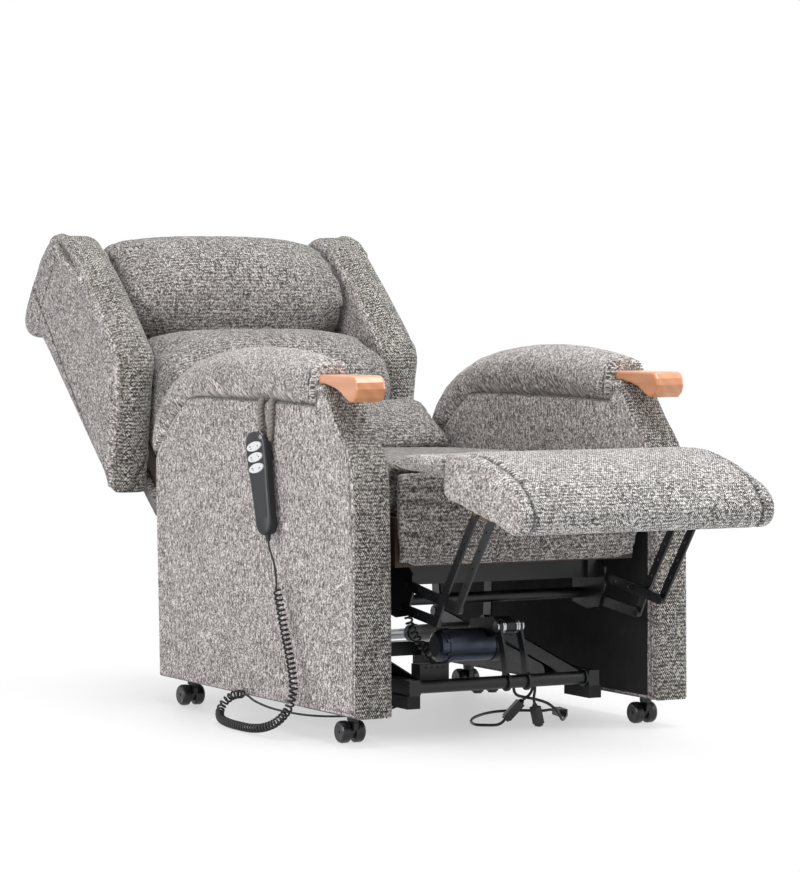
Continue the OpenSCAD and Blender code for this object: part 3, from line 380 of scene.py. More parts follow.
HANDSET_PLASTIC = coated_material("soft black handset", "#1d1f24", 0.42, dust=0.05, grain=3200.0, relief=0.0001)
HANDSET_GLOSS = coated_material(
    "glossy handset cap", "#14161d", 0.16, dust=0.03, grain=3200.0, relief=0.00005, coat=0.6
)
BUTTON_PLASTIC = coated_material("light grey button", "#cfd0d2", 0.45, dust=0.0, grain=3000.0, relief=0.0001)
CORD_RUBBER = coated_material("black cord", "#0f1013", 0.36, dust=0.08, grain=2400.0, relief=0.0002)
LINING = coated_material("black lining cloth", "#0a0a0a", 0.9, dust=0.05, grain=3800.0, relief=0.0005)
MARK_INK = coated_material("dark button mark", "#2d2f36", 0.5, dust=0.0)

CORNERS = ("front_right", "front_left", "rear_right", "rear_left")
FOOTREST_LINKS = ("upper_links", "lower_links", "long_bars", "front_bars")
NODE_LOOKS = (
    (BLACK_STEEL, ["base_frame", "front_lift_link", "lift_frame"]),
    (LINK_STEEL, ["rear_lift_links"] + ["footrest_" + part for part in FOOTREST_LINKS]),
    (DRIVE_CASE, ["control_box", "lift_gearbox", "back_motor"]),
    (MOTOR_CASE, ["lift_motor"]),
    (ROD_STEEL, ["lift_rod", "back_rod"]),
    (ZINC, ["lift_pin"]),
    (FOOT_RUBBER, ["base_feet"]),
    (FRAME_WOOD, ["seat_box", "back_frame"]),
    (HAND_REST_WOOD, ["knuckle_right", "knuckle_left"]),
    (BOARD, ["footrest_board"]),
    (HANDSET_PLASTIC, ["handset"]),
    (BUTTON_PLASTIC, ["button_top", "button_middle", "button_bottom"]),
    (CORD_RUBBER, ["plug_a", "plug_b", "coupler_c"]),
    (CASTER_PLASTIC, ["caster_" + corner for corner in CORNERS]),
    (WHEEL_PLASTIC, ["wheels_" + corner for corner in CORNERS]),
)


def dress_node(node, look):
    """Gives a node its look, with crisp edges."""
    if not node.material_slots:
        node.data.materials.append(None)
    for held in node.material_slots:
        held.link = "OBJECT"
        held.material = look
    node.data.set_sharp_from_angle(angle=math.radians(35))


for look, names in NODE_LOOKS:
    for name in names:
        dress_node(nodes[name], look)

# ---------------------------------------------------------------- curves and cords


def spline_through(points, steps):
    """Catmull-Rom points through given ones."""
    p = [Vector(q) for q in points]
    out = []
    for i in range(len(p) - 1):
        a, b, c, d = p[max(i - 1, 0)], p[i], p[i + 1], p[min(i + 2, len(p) - 1)]
        for k in range(steps):
            t = k / steps
            square, cube = 2 * a - 5 * b + 4 * c - d, 3 * b - a - 3 * c + d
            out.append(0.5 * ((2 * b) + (c - a) * t + square * t * t + cube * t**3))
    return out + [p[-1]]


def carried_normals(points):
    """A normal for each point, carried along the line without twist, and its partner."""
    pairs, normal = [], None
    for i in range(len(points)):
        d = (points[min(i + 1, len(points) - 1)] - points[max(i - 1, 0)]).normalized()
        if normal is None:
            normal = d.cross(Vector((0, 0, 1)) if abs(d.z) < 0.9 else Vector((1, 0, 0))).normalized()
        else:
            normal = (normal - d * normal.dot(d)).normalized()
        pairs.append((normal.copy(), d.cross(normal)))
    return pairs


def coiled(points, turns, radius, per_turn):
    """A helix round a line, eased in from it at both ends."""
    pairs = carried_normals(points)
    run = [0.0]
    for a, b in zip(points, points[1:]):
        run.append(run[-1] + (b - a).length)
    out, seek = [], 0
    for k in range(turns * per_turn + 1):
        s = run[-1] * k / (turns * per_turn)
        while seek < len(run) - 2 and run[seek + 1] < s:
            seek += 1
        t = (s - run[seek]) / (run[seek + 1] - run[seek])
        c = points[seek].lerp(points[seek + 1], t)
        n = pairs[seek][0].lerp(pairs[seek + 1][0], t).normalized()
        m = pairs[seek][1].lerp(pairs[seek + 1][1], t).normalized()
        ease = min(1, k / per_turn, turns - k / per_turn)
        a = 2 * math.pi * k / per_turn
        out.append(c + radius * ease * (math.cos(a) * n + math.sin(a) * m))
    return out


def cord_curve(name, points, radius, material, sides=4):
    """A round cord along points, as one open curve."""
    data = bpy.data.curves.new(name, "CURVE")
    data.dimensions = "3D"
    data.bevel_depth = radius
    data.bevel_resolution = sides
    data.use_fill_caps = True
    line = data.splines.new("POLY")
    line.points.add(len(points) - 1)
    for held, p in zip(line.points, points):
        held.co = (*p, 1)
    line.use_smooth = True
    data.materials.append(material)
    made = bpy.data.objects.new(name, data)
    scene.collection.objects.link(made)
    return made


# ---------------------------------------------------------------- mesh helpers


def object_from(name, bm, materials, sharp=40):
    bmesh.ops.recalc_face_normals(bm, faces=bm.faces)
    mesh = bpy.data.meshes.new(name)
    bm.to_mesh(mesh)
    bm.free()
    for look in materials:
        mesh.materials.append(look)
    mesh.polygons.foreach_set("use_smooth", [True] * len(mesh.polygons))
    mesh.set_sharp_from_angle(angle=math.radians(sharp))
    made = bpy.data.objects.new(name, mesh)
    scene.collection.objects.link(made)
    return made


def grow(bm, rings):
    """Adds a closed form to bm, ring by ring, by extruding its end face."""
    face = bm.faces.new([bm.verts.new(p) for p in rings[0]])
    for ring in rings[1:]:
        grown = bmesh.ops.extrude_face_region(bm, geom=[face])["geom"]
        face = next(g for g in grown if isinstance(g, bmesh.types.BMFace))
        for vert, p in zip(face.verts, ring):
            vert.co = p


def skin(name, rings, materials, sharp=40):
    bm = bmesh.new()
    grow(bm, rings)
    return object_from(name, bm, materials, sharp)


def round_outline(points, steps, corner):
    """A closed outline resampled smoothly, except that corners sharper than corner degrees stay."""
    p = [Vector(q) for q in points]
    n = len(p)
    sharp = []
    for i in range(n):
        a, b = p[i] - p[i - 1], p[(i + 1) % n] - p[i]
        sharp.append(a.angle(b) > math.radians(corner))
    out = []
    for i in range(n):
        b, c = p[i], p[(i + 1) % n]
        a = b - (c - b) if sharp[i] else p[i - 1]
        d = c + (c - b) if sharp[(i + 1) % n] else p[(i + 2) % n]
        length = (c - b).length
        tb = (c - a).normalized() * length if not sharp[i] else (c - b)
        tc = (d - b).normalized() * length if not sharp[(i + 1) % n] else (c - b)
        for k in range(steps):
            t = k / steps
            h1, h2 = 2 * t**3 - 3 * t**2 + 1, t**3 - 2 * t**2 + t
            h3, h4 = -2 * t**3 + 3 * t**2, t**3 - t**2
            out.append(h1 * b + h2 * tb + h3 * c + h4 * tc)
    return out


def inset(points, d, weight=None):
    """Corners of a closed counter-clockwise outline moved in by d, times each one's weight."""
    out, n = [], len(points)
    for i in range(n):
        a = (points[i] - points[i - 1]).normalized()
        b = (points[(i + 1) % n] - points[i]).normalized()
        na, nb = Vector((-a.y, a.x)), Vector((-b.y, b.x))
        w = 1.0 if weight is None else weight[i]
        out.append(points[i] + (na + nb) * d * w / max(0.35, 1 + na.dot(nb)))
    return out


def slab(name, outline, place, x0, x1, rim, materials, weight=None, sharp=40):
    """An upholstered slab across x: rim lists (inset, depth) from the middle of a face to its edge."""
    way = 1 if x1 > x0 else -1
    rings = [[place(x0 + way * depth, *p) for p in inset(outline, ins, weight)] for ins, depth in rim]
    rings += [[place(x1 - way * depth, *p) for p in inset(outline, ins, weight)] for ins, depth in reversed(rim)]
    return skin(name, rings, materials, sharp)


def coordinates(mesh):
    co = np.empty(len(mesh.vertices) * 3)
    mesh.vertices.foreach_get("co", co)
    return co.reshape(-1, 3)


def set_coordinates(mesh, co):
    mesh.vertices.foreach_set("co", co.astype(np.float32).ravel())
    mesh.update()


def apply_modifiers(made):
    """Bakes a piece's modifiers into its mesh."""
    held = made.evaluated_get(bpy.context.evaluated_depsgraph_get())
    mesh = bpy.data.meshes.new_from_object(held)
    made.modifiers.clear()
    made.data = mesh


def remesh(made, voxel):
    held = made.modifiers.new("even mesh", "REMESH")
    held.mode = "VOXEL"
    held.voxel_size = voxel
    held.use_smooth_shade = True
    apply_modifiers(made)


def smooth_points(made, rounds):
    bm = bmesh.new()
    bm.from_mesh(made.data)
    for _ in range(rounds):
        bmesh.ops.smooth_vert(bm, verts=bm.verts, factor=0.5, use_axis_x=True, use_axis_y=True, use_axis_z=True)
    bm.to_mesh(made.data)
    bm.free()


def divide(made):
    """Gives a piece one subdivision."""
    held = made.modifiers.new("finer", "SUBSURF")
    held.levels = held.render_levels = 1
    apply_modifiers(made)
    made.data.polygons.foreach_set("use_smooth", [True] * len(made.data.polygons))


STUFFING_FRAMES = 20


def plump(made, voxel, cap, pressure, held_down=None):
    """Stuffs a closed form: even mesh, cloth under inner pressure, and no point further than cap from its start.
    held_down picks the points that rest on something and stay."""
    remesh(made, voxel)
    start = coordinates(made.data)
    cloth = made.modifiers.new("stuffing", "CLOTH")
    s = cloth.settings
    s.quality = 4
    s.mass = 0.3
    s.tension_stiffness = s.compression_stiffness = 15
    s.shear_stiffness = 5
    s.bending_stiffness = 0.5
    s.use_pressure = True
    s.uniform_pressure_force = pressure
    s.effector_weights.gravity = 0
    if held_down is not None:
        group = made.vertex_groups.new(name="rest")
        group.add([int(i) for i in np.nonzero(held_down(start))[0]], 1.0, "REPLACE")
        s.vertex_group_mass = "rest"
    cloth.point_cache.frame_start, cloth.point_cache.frame_end = 1, STUFFING_FRAMES
    for f in range(1, STUFFING_FRAMES + 1):
        scene.frame_set(f)
    now = made.evaluated_get(bpy.context.evaluated_depsgraph_get())
    end = coordinates(now.data)
    made.modifiers.clear()
    made.vertex_groups.clear()
    scene.frame_set(1)
    move = end - start
    far = np.linalg.norm(move, axis=1, keepdims=True)
    set_coordinates(made.data, start + move * np.minimum(1.0, cap / np.maximum(far, 1e-9)))
    smooth_points(made, 2)


def limit(made, axis, low, high, soft=0.004):
    """Presses a piece flat against its neighbours: points past low or high along axis ease onto them."""
    co = coordinates(made.data)
    v = co[:, axis]
    over = v > high - soft
    v[over] = high - soft * np.exp(-(v[over] - high + soft) / soft)
    under = v < low + soft
    v[under] = low + soft * np.exp((v[under] - low - soft) / soft)
    set_coordinates(made.data, co)


def distance_to_line(co, line):
    """For each point, the distance to a polyline and the length along it."""
    best = np.full(len(co), 1e9)
    along = np.zeros(len(co))
    run = 0.0
    for a, b in zip(line, line[1:]):
        a, b = np.array(a), np.array(b)
        d = b - a
        size = np.linalg.norm(d)
        t = np.clip(((co - a) @ d) / max(size * size, 1e-12), 0, 1)
        far = np.linalg.norm(co - (a + t[:, None] * d), axis=1)
        near = far < best
        best[near] = far[near]
        along[near] = run + t[near] * size
        run += size
    return best, along


def normals_of(mesh):
    out = np.empty(len(mesh.vertices) * 3)
    mesh.vertex_normals.foreach_get("vector", out)
    return out.reshape(-1, 3)


# how far the painted shade of a seam or fold reaches from its line, in metres
SEAM_SHADE_WIDTH, BROAD_SEAM_SHADE_WIDTH, FOLD_SHADE = 0.0026, 0.0032, 0.0036


def note_seam(made, far, width, share=1.0):
    """Adds painted shade along a seam or fold to a piece, from each point's distance to it."""
    amount = share * np.exp(-((far / width) ** 2))
    layer = made.data.attributes.get("seam") or made.data.attributes.new("seam", "FLOAT", "POINT")
    held = np.empty(len(made.data.vertices), np.float32)
    layer.data.foreach_get("value", held)
    layer.data.foreach_set("value", np.maximum(held, amount).astype(np.float32))


def sew(made, line, width, depth, ripple=0.0, pitch=0.02):
    """Draws a seam in along a line of points in metres, with gathers either side when ripple is given, and paints shade
    along it.
    """
    co, nor = coordinates(made.data), normals_of(made.data)
    near = np.all((co > np.min(line, axis=0) - width * 3) & (co < np.max(line, axis=0) + width * 3), axis=1)
    far, along = distance_to_line(co[near], line)
    pull = depth * np.exp(-((far / width) ** 2) * 2)
    if ripple:
        side = np.exp(-((far / (width * 3)) ** 2))
        pull = pull + ripple * side * (0.5 + 0.5 * np.sin(along * 2 * math.pi / pitch + 1.3 * np.sin(along * 61)))
    co[near] -= nor[near] * pull[:, None]
    set_coordinates(made.data, co)
    whole = np.full(len(co), 1.0)
    whole[near] = far
    note_seam(made, whole, SEAM_SHADE_WIDTH, min(1.0, depth / 0.002))


def sew_round(made, x, width, depth):
    """Draws a seam in all the way round a piece, across the chair at x millimetres from its middle, and paints shade
    along it.
    """
    co, nor = coordinates(made.data), normals_of(made.data)
    far = np.abs(co[:, 0] - across(x))
    co -= nor * (depth * np.exp(-((far / width) ** 2) * 2))[:, None]
    set_coordinates(made.data, co)
    note_seam(made, far, BROAD_SEAM_SHADE_WIDTH)


def crease(made, line, width, depth):
    """Presses a fold into a piece, deepest at the line's first point and gone at its last, and paints shade along it.
    """
    co, nor = coordinates(made.data), normals_of(made.data)
    line = [np.array(p) for p in line]
    whole = sum(float(np.linalg.norm(b - a)) for a, b in zip(line, line[1:]))
    far, along = distance_to_line(co, line)
    share = np.clip(1 - along / whole, 0, 1) ** 0.7
    near = np.exp(-((far / width) ** 2) * 2) - 0.45 * np.exp(-(((far - width * 1.5) / width) ** 2) * 2)
    co -= nor * (depth * share * near)[:, None]
    set_coordinates(made.data, co)
    note_seam(made, far, FOLD_SHADE, share * min(1.0, depth / 0.005))


def seam_line(place, x, points):
    """A line on a piece at x across the chair, for sew."""
    return [np.array(place(x, *p)) for p in points]


def lay_cloth(made, outline, unplace, flat=0.75, turn_flat=False, closed=True):
    """Maps cloth round a piece: along its outline and across it, carried on down its ends.
    unplace gives (x, a, b) in metres from coordinates. A face whose normal's x is past flat uses (a, b)
    as they lie, and takes the first of two materials."""
    mesh = made.data
    co = coordinates(mesh)
    x, a, b = unplace(co)
    line = [np.array((p[0], p[1])) / 1000 for p in outline]
    far, along = distance_to_line(np.stack([a, b], axis=1), line + [line[0]] * closed)
    girth = x + np.sign(x - x.mean()) * far
    layer = mesh.uv_layers.get("cloth") or mesh.uv_layers.new(name="cloth")
    loops = np.empty(len(mesh.loops), int)
    mesh.loops.foreach_get("vertex_index", loops)
    counts = np.empty(len(mesh.polygons), int)
    mesh.polygons.foreach_get("loop_total", counts)
    normal = np.empty(len(mesh.polygons) * 3)
    mesh.polygons.foreach_get("normal", normal)
    on_face = np.abs(normal.reshape(-1, 3)[:, 0]) > flat
    is_flat = np.repeat(on_face, counts)
    first, second = (b, a) if turn_flat else (a, b)
    u = np.where(is_flat, first[loops], girth[loops])
    v = np.where(is_flat, second[loops], along[loops])
    layer.data.foreach_set("uv", np.stack([u, v], axis=1).astype(np.float32).ravel())
    if len(mesh.materials) > 1:
        mesh.polygons.foreach_set("material_index", (~on_face).astype(int))
    mesh.update()


def chair_plane(co):
    """The chair's own x, y and z in metres, from the frame's."""
    return co[:, 0] - ZERO_X / 1000, co[:, 1] - ZERO_Y / 1000, co[:, 2]


def back_plane(co):
    """x, u and n of on_back in metres, from the frame's coordinates."""
    c, s = math.cos(BACK_SLOPE), math.sin(BACK_SLOPE)
    x, y, z = chair_plane(co)
    y, z = y - BACK_CORNER[0] / 1000, z - BACK_CORNER[1] / 1000
    return x, y * c + z * s, -y * s + z * c


CUSHION_STATIONS = 26


def stuffed_form(name, outline, place, width, core, end, rim):
    """A cushion across the chair whose section shrinks towards core at both ends, there to rim times its size."""
    rings = []
    for k in range(CUSHION_STATIONS + 1):
        s = math.cos(math.pi * k / CUSHION_STATIONS)
        f = rim + (1 - rim) * (1 - abs(s) ** 3) ** end
        section = [(core[0] + (p[0] - core[0]) * f, core[1] + (p[1] - core[1]) * f) for p in outline]
        rings.append([place(-s * width / 2, *p) for p in section])
    return skin(name, rings, [CUSHION_CLOTH])


def finish_piece(made, body, slot, *stands_for, fill=None):
    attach(made, body)
    if stands_for:
        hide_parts(*stands_for)
    return made


# ---------------------------------------------------------------- cords


# radii of the handset's lead and of the leads to the plugs, in metres
THIN_LEAD, STOUT_LEAD = 0.002, 0.0027
# both curly leads: points in each curl
CURL_POINTS = 16


def declared_cord(name, points, radius, body, stands_for):
    made = cord_curve(name, points, radius, CORD_RUBBER)
    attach(made, body)
    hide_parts(*stands_for)


handset_foot = on_handset(HANDSET_BACK - 11, 0, -202.4)
CORD_ROUTE = [handset_foot, handset_foot + Vector((0, -0.003, -0.012))]
CORD_ROUTE += route((-367, -144, 310), (-366, -150, 286), (-366, -153, 269.8))
CURL_ROUTE = route(
    (-366, -153, 268), (-366.4, -159, 254), (-368, -184, 200), (-373, -221, 140), (-379, -245, 94), (-387, -242, 58),
    (-394, -214, 32), (-400, -174, 17), (-404, -128, 10.5), (-405, -78, 9.5), (-402, -28, 9.5), (-394, 20, 12),
    (-382, 50, 21), (-370, 58, 36), (-361, 44, 49), (-356, 22, 55), (-354, 4, 56),
)  # fmt: skip
TAIL_ROUTE = route(
    (-353.9, 2.7, 56), (-352, -8, 54), (-345, -26, 45), (-325, -62, 34), (-285, -115, 26), (-235, -160, 26),
    (-190, -200, 34), (-155, -226, 48), (-136, -238, 68), (-131, -240, 90), (-129, -246, 100), (-128, -255.8, 104),
    (-128, -263.8, 104),
)  # fmt: skip
INNER_ROUTE = route(
    (-155, -261, 234), (-153, -256, 222), (-147, -252, 200), (-135, -249, 178), (-122, -252, 158), (-115, -262, 142),
    (-112, -270, 134), (-112, -271.6, 128.4),
)  # fmt: skip
LEAD_A = route((101, -268, 77.8), (101, -268, 68), (96, -266, 58), (85, -262, 49))
LEAD_B = route(
    (52.8, -250.9, 12.8), (46, -249, 6.5), (36, -246, 3.4), (20, -238, 3.2), (8, -222, 3.2), (22, -180, 3.2),
    (58, -128, 3.2), (105, -84, 3.2), (150, -62, 3.2), (195, -70, 3.2), (222, -98, 4), (227.4, -122, 8),
    (228, -137.5, 9),
)  # fmt: skip
LEAD_C = route(
    (52, -285, 77.8), (53, -285, 68), (62, -283, 60), (82, -279, 55), (108, -274, 49), (134, -269, 40), (154, -263, 27),
    (168, -255, 14), (178, -246, 6), (190, -232, 3.6), (203, -216, 5), (212, -204, 8), (215.8, -192.3, 9),
)  # fmt: skip
LEAD_D = route((94, -290, 77.8), (93.2, -290.2, 66), (91.2, -290.5, 54), (92.9, -290.1, 44.8))

straight = spline_through(CORD_ROUTE, 6)
curls = coiled(spline_through(CURL_ROUTE, 4), 66, 0.0065, CURL_POINTS)
inner_curls = coiled(spline_through(INNER_ROUTE, 4), 12, 0.006, CURL_POINTS)
tail = spline_through(TAIL_ROUTE, 6)
curly_nodes = ["handset_cord", "handset_curls"]
declared_cord("handset_lead", straight + curls[1:], THIN_LEAD, "chair", curly_nodes)
declared_cord("handset_lead_tail", tail, THIN_LEAD, "base", ["handset_tail"])
declared_cord("inner_curly_lead", inner_curls, THIN_LEAD, "base", ["inner_curls_lead"])
for name, points, far_end, lay, node, ends in (
    ("short_lead_to_plug", LEAD_A, "plug", "hanging", "lead_a", ["plug_a"]),
    ("floor_lead", LEAD_B, "object", "loose", "lead_b", []),
    ("coupler_lead", LEAD_C, "connector", "loose", "lead_c", ["coupler_c"]),
    ("small_plug_lead", LEAD_D, "plug", "hanging", "lead_d", ["plug_b"]),
):
    line = spline_through(points, 8)
    declared_cord(name, line, STOUT_LEAD, "base", [node])

# ---------------------------------------------------------------- arms

# x of an arm's inner and outer face
ARM_INSIDE, ARM_OUTSIDE = 270, 345
# the pad's seat on an arm, as y and z
ARM_SEAM = [
    (410, 487), (392, 508), (345, 548), (300, 578), (262, 597), (124, 600), (-45, 600), (-206, 598), (-258, 597),
]  # fmt: skip
ARM_OUTLINE = (
    [(-418, 52), (402, 52), (412, 300), (418, 470)]
    + ARM_SEAM
    + [(-262, 634), (-290, 634), (-341, 572), (-400, 503), (-412, 400)]
)
BAND_SEAM = [(-409, 60), (-403, 400), (-391, 500), (-352, 560)]
LINING_OUTLINE = [Vector(p) for p in [(-396, 60), (388, 60), (388, 395), (-396, 395)]]
# inset and depth, from the middle of a face to its edge: flat panel, then the rolled border
ARM_RIM = [(13, 0.3), (9.6, 0.35), (9.0, 1.0), (8.4, 0.4), (6.6, 0.7), (3.8, 1.6), (1.8, 3.4), (0.5, 6.6), (0, 10)]

# x of a pad's middle, and half its width
PAD_MIDDLE, HALF_PAD = 307.5, 43.5
# the pad's sections from rear to front: (y, z) of the foot and of the top of each
PAD_STATIONS = [
    ((412.5, 487.6), (428, 490)), ((410, 487.8), (431, 520)), ((392, 508.6), (419, 556)), ((371, 526.6), (401, 582)),
    ((345, 548.5), (365, 613)), ((322, 563.8), (322, 637)), ((300, 578.5), (287, 651.5)), ((262, 597.5), (240, 668)),
    ((190, 599), (178, 681.5)), ((124, 600.4), (115, 689)), ((40, 600.4), (36, 694.5)), ((-45, 600.4), (-48, 696)),
    ((-125, 599.6), (-126, 693)), ((-206, 598.6), (-207, 684.5)), ((-244, 598.5), (-246, 678.5)),
    ((-256, 600.4), (-260, 675.5)),
]  # fmt: skip
# right half of the section across a pad: share of its half width, share of its height
HALF_SECTION = [
    (0.0, 0.0), (0.55, 0.0), (0.84, 0.005), (0.93, 0.03), (0.985, 0.1), (1.0, 0.22), (1.01, 0.42), (0.985, 0.6),
    (0.92, 0.76), (0.8, 0.88), (0.62, 0.955), (0.36, 0.99), (0.0, 1.0),
]  # fmt: skip


PAD_SECTION = HALF_SECTION + [(-w, h) for w, h in reversed(HALF_SECTION[1:-1])]


def build_arm(side, word):
    """An arm with its panels and border, painted shade along its border seams, and black lining where it faces the lift
    mechanism.
    """
    outline = round_outline(ARM_OUTLINE, 4, corner=35)
    faces = side * ARM_INSIDE, side * ARM_OUTSIDE
    arm = slab("arm_" + word + "_cover", outline, mm, *faces, ARM_RIM, [SIDE_CLOTH, BAND_CLOTH])
    # painted shade only: a dark line along the border seam on both faces, with no groove cut
    for x in faces:
        far, _ = distance_to_line(coordinates(arm.data), seam_line(mm, x, BAND_SEAM))
        note_seam(arm, far, 0.0016)
    lay_cloth(arm, outline, chair_plane)
    finish_piece(arm, "chair", "strie", "arm_" + word)
    faces = side * (ARM_INSIDE - 0.8), side * (ARM_INSIDE + 0.4)
    lining = slab("arm_" + word + "_lining", LINING_OUTLINE, mm, *faces, [(2, 0.2), (0, 0.5)], [LINING])
    finish_piece(lining, "chair", "strie")


def pad_ring(side, station, wide, tall=1.0, back=0.0):
    """A pad's section at a station, wide times its width and tall times its height, moved back."""
    (foot_y, foot_z), (top_y, top_z) = station
    ring = []
    for w, h in PAD_SECTION:
        h = 0.5 + (h - 0.5) * tall
        y, z = foot_y + (top_y - foot_y) * h - back, foot_z + (top_z - foot_z) * h
        ring.append(mm(side * PAD_MIDDLE + w * HALF_PAD * wide, y, z))
    return ring


def build_pad(side, word):
    widths = [0.93, 0.98] + [1.0] * (len(PAD_STATIONS) - 2)
    rings = [pad_ring(side, station, wide) for station, wide in zip(PAD_STATIONS, widths)]
    for back, shrink in ((4.0, 0.97), (6.5, 0.88)):
        rings.append(pad_ring(side, PAD_STATIONS[-1], shrink, shrink, back))
    pad = skin("arm_pad_" + word + "_cover", rings, [PAD_CLOTH])
    plump(pad, voxel=0.005, cap=0.006, pressure=2.5, held_down=lambda co: np.zeros(len(co), bool))
    divide(pad)
    for x in (side * 350, side * 264):
        down_the_side = seam_line(mm, x, [(-246, 601), (-249, 640), (-252, 676)])
        sew(pad, down_the_side, width=0.004, depth=0.003, ripple=0.0015, pitch=0.011)
    over_the_top = [np.array(mm(side * x, -253, 677)) for x in (264, 307, 351)]
    sew(pad, over_the_top, width=0.004, depth=0.003, ripple=0.001, pitch=0.012)
    top_line = [top for _, top in PAD_STATIONS] + [PAD_STATIONS[-1][0]]
    lay_cloth(pad, top_line, chair_plane, flat=2, closed=False)
    finish_piece(pad, "chair", "chenille", "arm_pad_" + word, fill=0.8)


SIDES = ((-1, "right"), (1, "left"))
for side, word in SIDES:
    build_arm(side, word)
    build_pad(side, word)

# ---------------------------------------------------------------- seat

SEAT_OUTLINE = [
    (322, 400.4), (336, 430), (334, 452), (324, 474), (299, 483), (240, 490), (120, 495), (0, 497), (-120, 496),
    (-250, 494), (-335, 492), (-362, 500), (-382, 510), (-394, 509), (-400.5, 500), (-401.5, 484), (-379, 481.6),
    (-379, 420), (-360, 400.4),
]  # fmt: skip
HALF_SEAT = 255
SEAT_BOARD = 400.4


def on_seat_box(co):
    """The seat cushion's underside, and its nose behind the footrest's flap."""
    return (co[:, 2] < 0.405) | (co[:, 1] < -0.492)


seat_core = (-20, SEAT_BOARD)
seat = stuffed_form("seat_cushion_cover", SEAT_OUTLINE, mm, 2 * HALF_SEAT, core=seat_core, end=0.5, rim=0.8)
plump(seat, voxel=0.0065, cap=0.004, pressure=1.5, held_down=on_seat_box)
limit(seat, 0, across(-HALF_SEAT - 1), across(HALF_SEAT + 1))
limit(seat, 2, 0.4002, 0.7)
divide(seat)
lay_cloth(seat, SEAT_OUTLINE, chair_plane, flat=2)
finish_piece(seat, "chair", "chenille", "seat_cushion", fill=0.8)

PANEL_OUTLINE = [
    (-380.4, 312), (-380.4, 474), (-387, 480), (-398, 477), (-403, 463), (-404, 400), (-402, 350), (-395, 322),
    (-386, 312),
]  # fmt: skip
PANEL_RIM = [(9, 0), (8, 2), (6.4, 6), (4.4, 12), (2.6, 20), (1, 32), (0, 46)]
panel_round = round_outline(PANEL_OUTLINE, 4, corner=60)
# only the lower corners are well rounded
PANEL_WEIGHT = [1.0 if p.y < 360 else 0.12 for p in panel_round]
front_panel = slab("seat_front_cover", panel_round, mm, -246, 246, PANEL_RIM, [CUSHION_CLOTH], PANEL_WEIGHT)
plump(front_panel, voxel=0.005, cap=0.003, pressure=1.2, held_down=lambda co: co[:, 1] > -0.507)
# the folded footrest's flap lies against the panel
limit(front_panel, 1, mm(0, -402.6, 0).y, 1.0, 0.003)
divide(front_panel)
# wrinkles that run in from the panel's ends: end, z at the end, z where it fades, reach, depth
PANEL_WRINKLES = (
    (-1, 452, 444, 150, 3.2), (-1, 430, 414, 190, 3.6), (-1, 404, 396, 130, 2.6), (-1, 374, 352, 90, 3.4),
    (1, 352, 366, 90, 4.0), (1, 378, 384, 110, 2.6), (1, 420, 410, 160, 3.0), (1, 446, 440, 120, 2.2),
)  # fmt: skip
for end, z0, z1, reach, depth in PANEL_WRINKLES:
    line = [mm(end * (238 - k * reach / 4), -403, z0 + (z1 - z0) * k / 4 + 4 * (k % 2)) for k in range(5)]
    crease(front_panel, line, width=0.009, depth=depth / 1000)
lay_cloth(front_panel, PANEL_OUTLINE, chair_plane, flat=2)
finish_piece(front_panel, "chair", "chenille", "seat_front_panel", fill=0.5)

# ---------------------------------------------------------------- back

# the cushions' and the cover's outlines, as u and n
HEAD_OUTLINE = [
    (330, 49), (529, 49), (532, 113), (566, 124), (573, 160), (562, 203), (531, 239), (488, 259), (430, 270),
    (371, 264), (328, 241), (308, 203), (304, 180), (308, 110),
]  # fmt: skip
MIDDLE_OUTLINE = [
    (24, 49), (324, 49), (300, 108), (293, 176), (266, 211), (212, 245), (149, 270), (100, 277), (63, 268), (35, 241),
    (20, 203), (17, 120),
]  # fmt: skip
LOWER_OUTLINE = [
    (11, 120), (11, 190), (4, 230), (-15, 262), (-45, 284), (-87, 296), (-128, 304), (-168, 310), (-198, 308),
    (-206, 292), (-174, 266), (-135, 230), (-117, 195), (-101, 150), (-90, 100), (-85, 49), (9, 49),
]  # fmt: skip


def against_board(co):
    return back_plane(co)[2] < 0.053


HALF_BACK = 247


def build_back_cushion(name, outline, core, end, rim, cap):
    made = stuffed_form(name, outline, on_back, 2 * HALF_BACK, core, end, rim)
    plump(made, voxel=0.006, cap=cap, pressure=3.5, held_down=against_board)
    limit(made, 0, across(-HALF_BACK - 6.5), across(HALF_BACK + 6.5))
    return made


head = build_back_cushion("head_cushion_cover", HEAD_OUTLINE, core=(440, 100), end=0.42, rim=0.74, cap=0.014)
middle = build_back_cushion("middle_cushion_cover", MIDDLE_OUTLINE, core=(160, 90), end=0.4, rim=0.76, cap=0.014)
lower = build_back_cushion("lower_cushion_cover", LOWER_OUTLINE, core=(-60, 120), end=0.2, rim=0.94, cap=0.008)

# folds that run in from the cushions' ends: end, u and n there, reach, u and n where it fades, width, depth
HEAD_FOLDS = [
    (-1, 505, 226, 60, 540, 216, 6, 5), (-1, 476, 242, 74, 520, 242, 7, 7), (-1, 446, 252, 96, 486, 262, 8, 9),
    (-1, 408, 256, 40, 424, 266, 8, 4), (-1, 352, 238, 44, 342, 256, 9, 5), (1, 342, 226, 34, 366, 250, 7, 7),
    (1, 316, 210, 44, 330, 238, 7, 7), (1, 376, 244, 30, 402, 262, 7, 5), (1, 440, 252, 40, 462, 264, 8, 5),
    (1, 500, 232, 46, 520, 240, 8, 5),
]  # fmt: skip
MIDDLE_FOLDS = [
    (1, 120, 256, 50, 146, 270, 7, 7), (1, 88, 256, 40, 100, 270, 6, 7), (1, 62, 250, 34, 62, 266, 6, 6),
    (1, 165, 246, 44, 196, 254, 8, 6), (1, 40, 232, 30, 36, 250, 6, 5), (1, 214, 226, 60, 240, 230, 8, 5),
    (-1, 150, 246, 60, 196, 252, 9, 6), (-1, 230, 212, 50, 262, 212, 9, 5), (-1, 100, 254, 44, 120, 270, 8, 5),
]  # fmt: skip
